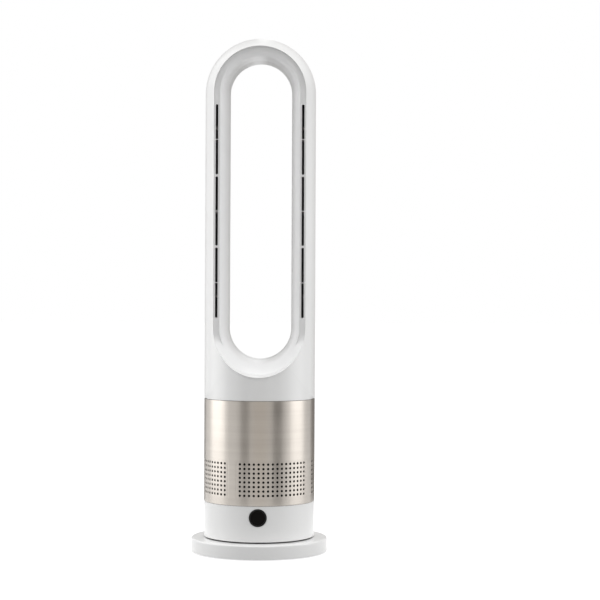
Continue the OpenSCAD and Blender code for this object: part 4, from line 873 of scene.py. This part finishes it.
def liner_corners(station):
    """The liner's section: deep has the channel, flat is for the top, the scoop for the lower arc."""
    z0, dx, dz = station
    fade = ease(math.degrees(math.asin(max(0.0, -dz))), 8, 34)
    top_fade = ease(math.degrees(math.asin(max(0.0, dz))), 4, 40)
    half = slit_width(z0) if dz == 0 else slit_tip
    slope = [funnel(0, a) for a in (80, 72, 64, 56, 48)]
    gutter = (liner_out, gutter_out, slit_mid + half, slit_mid - half, gutter_in, crest)
    deep = [(out, floor_y) for out in gutter] + [(crest, crest_y)] + slope
    flat = [(liner_out, -55.6), (gutter_out, -56.4), (slit_mid + slit_half, -56.8),
            (slit_mid - slit_half, -57.0), (gutter_in, -57.0), (crest + 0.6, -56.8), (crest, crest_y)] + slope
    deep = [(p[0], p[1] + (q[1] - p[1]) * top_fade) for p, q in zip(deep, flat)]
    front = mixed(deep, scoop_line(len(deep)), fade)
    corners = [(*p, 0) for p in front[:5]] + [(*front[5], 0.7 * (1 - fade)), (*front[6], 1.1)]
    corners += [(*p, 0) for p in front[7:]] + [(*funnel(0, a), 0) for a in (40, 32, 24, 16, 8, 0)]
    corners += [(throat_half, straight_from, 0), (throat_half, liner_end, 0.4)]
    corners += [(throat_half + liner_wall, liner_end, 0)]
    corners += [(*funnel(liner_wall, a), 0) for a in (5, 20, 35, 50)]
    corners += [(crest - liner_wall, back_y, 0), (slit_mid - half, back_y, 0), (slit_mid + half, back_y, 0)]
    return corners + [(liner_out, back_y, 0)]


def liner_point(station, out, depth):
    """A point of the liner, lifted towards the throat in the upper part."""
    z0, dx, dz = station
    x, y, z = place(station, out, depth)
    share = max(0.0, (z0 - low_z) / (rim_top - low_z)) if dz >= 0 else 0.0
    return (x, y, z + (throat_top - rim_top) * share * ease(depth, -52, -20))


# These corners keep a trace of their radius where it fades, so that every section has as many points.
soft_corners, least_radius = (5, 6, 19), 1e-4
liner_stations = stations(rim_top, slit_marks)
rings, in_slit = [], []
for s in liner_stations:
    corners = [(a, b, max(r, least_radius) if i in soft_corners else r)
               for i, (a, b, r) in enumerate(liner_corners(s))]
    line, starts = rounded(corners, 5)
    rings.append([liner_point(s, *p) for p in line])
    span = [k for k, (a, b) in enumerate(slit_spans) if a - 1e-3 <= s[0] <= b + 1e-3] if s[2] == 0 else []
    in_slit.append(span[0] if span else None)
front_a, front_b = starts[2], starts[3]
back_a, back_b = starts[-2], starts[-3]
size = len(rings[0])
skip, walls = set(), []
for i in range(len(rings)):
    n = (i + 1) % len(rings)
    here, there = in_slit[i], in_slit[n]
    if here is not None and here == there and liner_stations[i][1] == liner_stations[n][1]:
        skip |= {(i, front_a), (i, back_b)}
        walls += [(i * size + a, n * size + a, n * size + b, i * size + b)
                  for a, b in ((front_a, back_a), (front_b, back_b))]
    else:
        for k, span in ((i, here), (n, there)):
            if span is not None:
                walls.append((k * size + front_a, k * size + front_b, k * size + back_b, k * size + back_a))
points, faces = sum(rings, []), wrap(rings, skip=skip) + walls
rib_half, rib_front, rib_back = 0.6, floor_y + 0.3, back_y - 0.2
box_faces = ((0, 1, 3, 2), (4, 6, 7, 5), (0, 4, 5, 1), (2, 3, 7, 6), (0, 2, 6, 4), (1, 5, 7, 3))
for side in (-1, 1):
    for a, b in slit_spans:
        start, middle = len(points), (a + b) / 2
        points += [(side * x, y, middle + z) for x in (slit_mid - slit_half - 0.1, slit_mid + slit_half + 0.1)
                   for y in (rib_front, rib_back) for z in (-rib_half, rib_half)]
        faces += [tuple(start + k for k in f) for f in box_faces]
add_piece("funnel_liner", points, faces, "pale_grey_plastic", "loop_liner")

# %% [markdown]
# The room is white paper. The floor and the world show white to the eye and to reflections, while the light
# that falls on the fan from all round is softer than that. A plain diffuse share in the floor keeps the
# fan's shadow on it. The glow of the floor and of the dark cards lights nothing by itself, so neither is
# sampled as a lamp.


# %% Helpers for the studio
def bare_finish(name):
    """A finish with no nodes yet, which isn't sampled as a lamp."""
    finish = bpy.data.materials.new(name)
    finish.use_nodes = True
    finish.node_tree.nodes.clear()
    finish.cycles.emission_sampling = "NONE"
    return finish, finish.node_tree


def looking_rays(tree):
    """1 for rays from the camera, in reflections or through glass, and 0 for rays that carry light."""
    rays = add_node(tree, "ShaderNodeLightPath")
    seen = add_node(tree, "ShaderNodeMath", operation="MAXIMUM")
    through = add_node(tree, "ShaderNodeMath", operation="MAXIMUM")
    tree.links.new(rays.outputs["Is Camera Ray"], seen.inputs[0])
    tree.links.new(rays.outputs["Is Glossy Ray"], seen.inputs[1])
    tree.links.new(seen.outputs[0], through.inputs[0])
    tree.links.new(rays.outputs["Is Transmission Ray"], through.inputs[1])
    return through.outputs[0]


# %% Floor
paper, tree = bare_finish("white_paper")
fibres = add_node(tree, "ShaderNodeTexNoise", Scale=40.0, Detail=2.0)
own_space = add_node(tree, "ShaderNodeTexCoord")
matt = add_node(tree, "ShaderNodeBsdfDiffuse")
brightness = add_node(tree, "ShaderNodeMath", operation="MULTIPLY")
brightness.inputs[1].default_value = 0.80
glow = add_node(tree, "ShaderNodeEmission")
total = add_node(tree, "ShaderNodeAddShader")
out = add_node(tree, "ShaderNodeOutputMaterial")
shade = tint(tree, fibres.outputs["Fac"], (0.42, 0.42, 0.42), (0.44, 0.44, 0.44))
tree.links.new(own_space.outputs["Object"], fibres.inputs["Vector"])
tree.links.new(shade, matt.inputs["Color"])
tree.links.new(looking_rays(tree), brightness.inputs[0])
tree.links.new(brightness.outputs[0], glow.inputs["Strength"])
tree.links.new(matt.outputs[0], total.inputs[0])
tree.links.new(glow.outputs[0], total.inputs[1])
tree.links.new(total.outputs[0], out.inputs["Surface"])

reach, cells = 30.0, 12
lines = [-reach + 2 * reach * i / cells for i in range(cells + 1)]
row = cells + 1
mesh = bpy.data.meshes.new("studio_floor")
mesh.from_pydata([(x, y, 0) for y in lines for x in lines], [],
                 [(j * row + i, j * row + i + 1, (j + 1) * row + i + 1, (j + 1) * row + i)
                  for j in range(cells) for i in range(cells)])
floor = bpy.data.objects.new("studio_floor", mesh)
scene.collection.objects.link(floor)
mesh.materials.append(paper)
floor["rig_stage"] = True

# %% World
world = bpy.data.worlds.new("white_room")
scene.world = world
world.use_nodes = True
tree = world.node_tree
tree.nodes.clear()
fill = add_node(tree, "ShaderNodeBackground", Color=(1, 1, 1, 1), Strength=0.56)
white = add_node(tree, "ShaderNodeBackground", Color=(1, 1, 1, 1), Strength=1.0)
choose = add_node(tree, "ShaderNodeMixShader")
out = add_node(tree, "ShaderNodeOutputWorld")
tree.links.new(looking_rays(tree), choose.inputs[0])
tree.links.new(fill.outputs[0], choose.inputs[1])
tree.links.new(white.outputs[0], choose.inputs[2])
tree.links.new(choose.outputs[0], out.inputs["Surface"])

# %% [markdown]
# Two tall soft boxes stand at the sides, the left one a little stronger. They make the edges of the white
# loop brighter than its middle and draw the two upright streaks on the metal. A large box high above lifts
# the top faces, and two behind the fan, which don't show in reflections, light its back.


# %% Soft boxes
def soft_box(name, place_at, aim, width, height, power):
    """A lamp of that size in metres and power in watts, turned to what it aims at."""
    lamp = bpy.data.lights.new(name, "AREA")
    lamp.shape, lamp.size, lamp.size_y, lamp.energy = "RECTANGLE", width, height, power
    box = bpy.data.objects.new(name, lamp)
    scene.collection.objects.link(box)
    box.location = place_at
    box.rotation_euler = (Vector(aim) - Vector(place_at)).to_track_quat("-Z", "Y").to_euler()
    return box


def beside(azimuth, distance, height):
    """A place round the fan: azimuth 0 is in front, 90 on its right."""
    a = math.radians(azimuth)
    return (distance * math.sin(a), -distance * math.cos(a), height)


soft_box("left_box", beside(-94, 1.5, 0.60), (0, 0, 0.50), 1.15, 1.7, 12.9)
soft_box("right_box", beside(84, 1.5, 0.60), (0, 0, 0.50), 0.95, 1.7, 9.7)
soft_box("top_box", (0, -0.7, 4.0), (0, 0, 0.4), 2.6, 2.6, 74.0)
back_left = soft_box("back_left_box", beside(-152, 1.7, 0.60), (0, 0, 0.55), 0.8, 1.6, 11.0)
back_right = soft_box("back_right_box", beside(150, 1.7, 0.60), (0, 0, 0.55), 0.8, 1.6, 6.0)
for box in (back_left, back_right):
    box.visible_glossy = False
    box.visible_camera = False

# %% [markdown]
# Bright metal shows what stands round it. A photographer sets dark cards beside the lens and behind the
# fan, so that the sleeve gets dark bands between its streaks and dark edges against the white. The cards
# here are seen by glossy rays only.


# %% Dark cards
def card(name, azimuth, distance, width, shade, low=-0.4, high=2.6):
    """An upright card beside the fan, in metres, that shows in reflections only."""
    a = math.radians(azimuth)
    middle = Vector(beside(azimuth, distance, 0))
    side = Vector((math.cos(a), math.sin(a), 0)) * width / 2
    foot, head = Vector((0, 0, low)), Vector((0, 0, high))
    mesh = bpy.data.meshes.new(name)
    mesh.from_pydata([middle - side + foot, middle + side + foot, middle + side + head, middle - side + head],
                     [], [(0, 1, 2, 3)])
    board = bpy.data.objects.new(name, mesh)
    scene.collection.objects.link(board)
    finish, tree = bare_finish(name + "_felt")
    felt = add_node(tree, "ShaderNodeTexNoise", Scale=20.0, Detail=2.0)
    glow = add_node(tree, "ShaderNodeEmission")
    out = add_node(tree, "ShaderNodeOutputMaterial")
    light = (shade, shade * 0.95, shade * 0.89)
    dark = (shade * 0.96, shade * 0.91, shade * 0.85)
    tree.links.new(tint(tree, felt.outputs["Fac"], dark, light), glow.inputs["Color"])
    tree.links.new(glow.outputs[0], out.inputs["Surface"])
    mesh.materials.append(finish)
    for ray in ("camera", "diffuse", "shadow", "transmission", "volume_scatter"):
        setattr(board, "visible_" + ray, False)
    board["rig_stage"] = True


card("card_front_left", -27, 0.75, 0.215, 0.28)
card("card_front_middle", 3, 0.77, 0.42, 0.88)
card("card_front_right", 37, 0.75, 0.27, 0.21)
card("card_back_left", -160, 0.75, 0.46, 0.15)
card("card_back_right", 152, 0.75, 0.63, 0.28)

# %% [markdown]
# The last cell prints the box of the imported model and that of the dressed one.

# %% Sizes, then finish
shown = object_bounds()
for name, box in (("CAD", cad_box), ("visual", shown)):
    print(name, "box mm:", [round((b - a) / mm, 1) for a, b in zip(*box)])
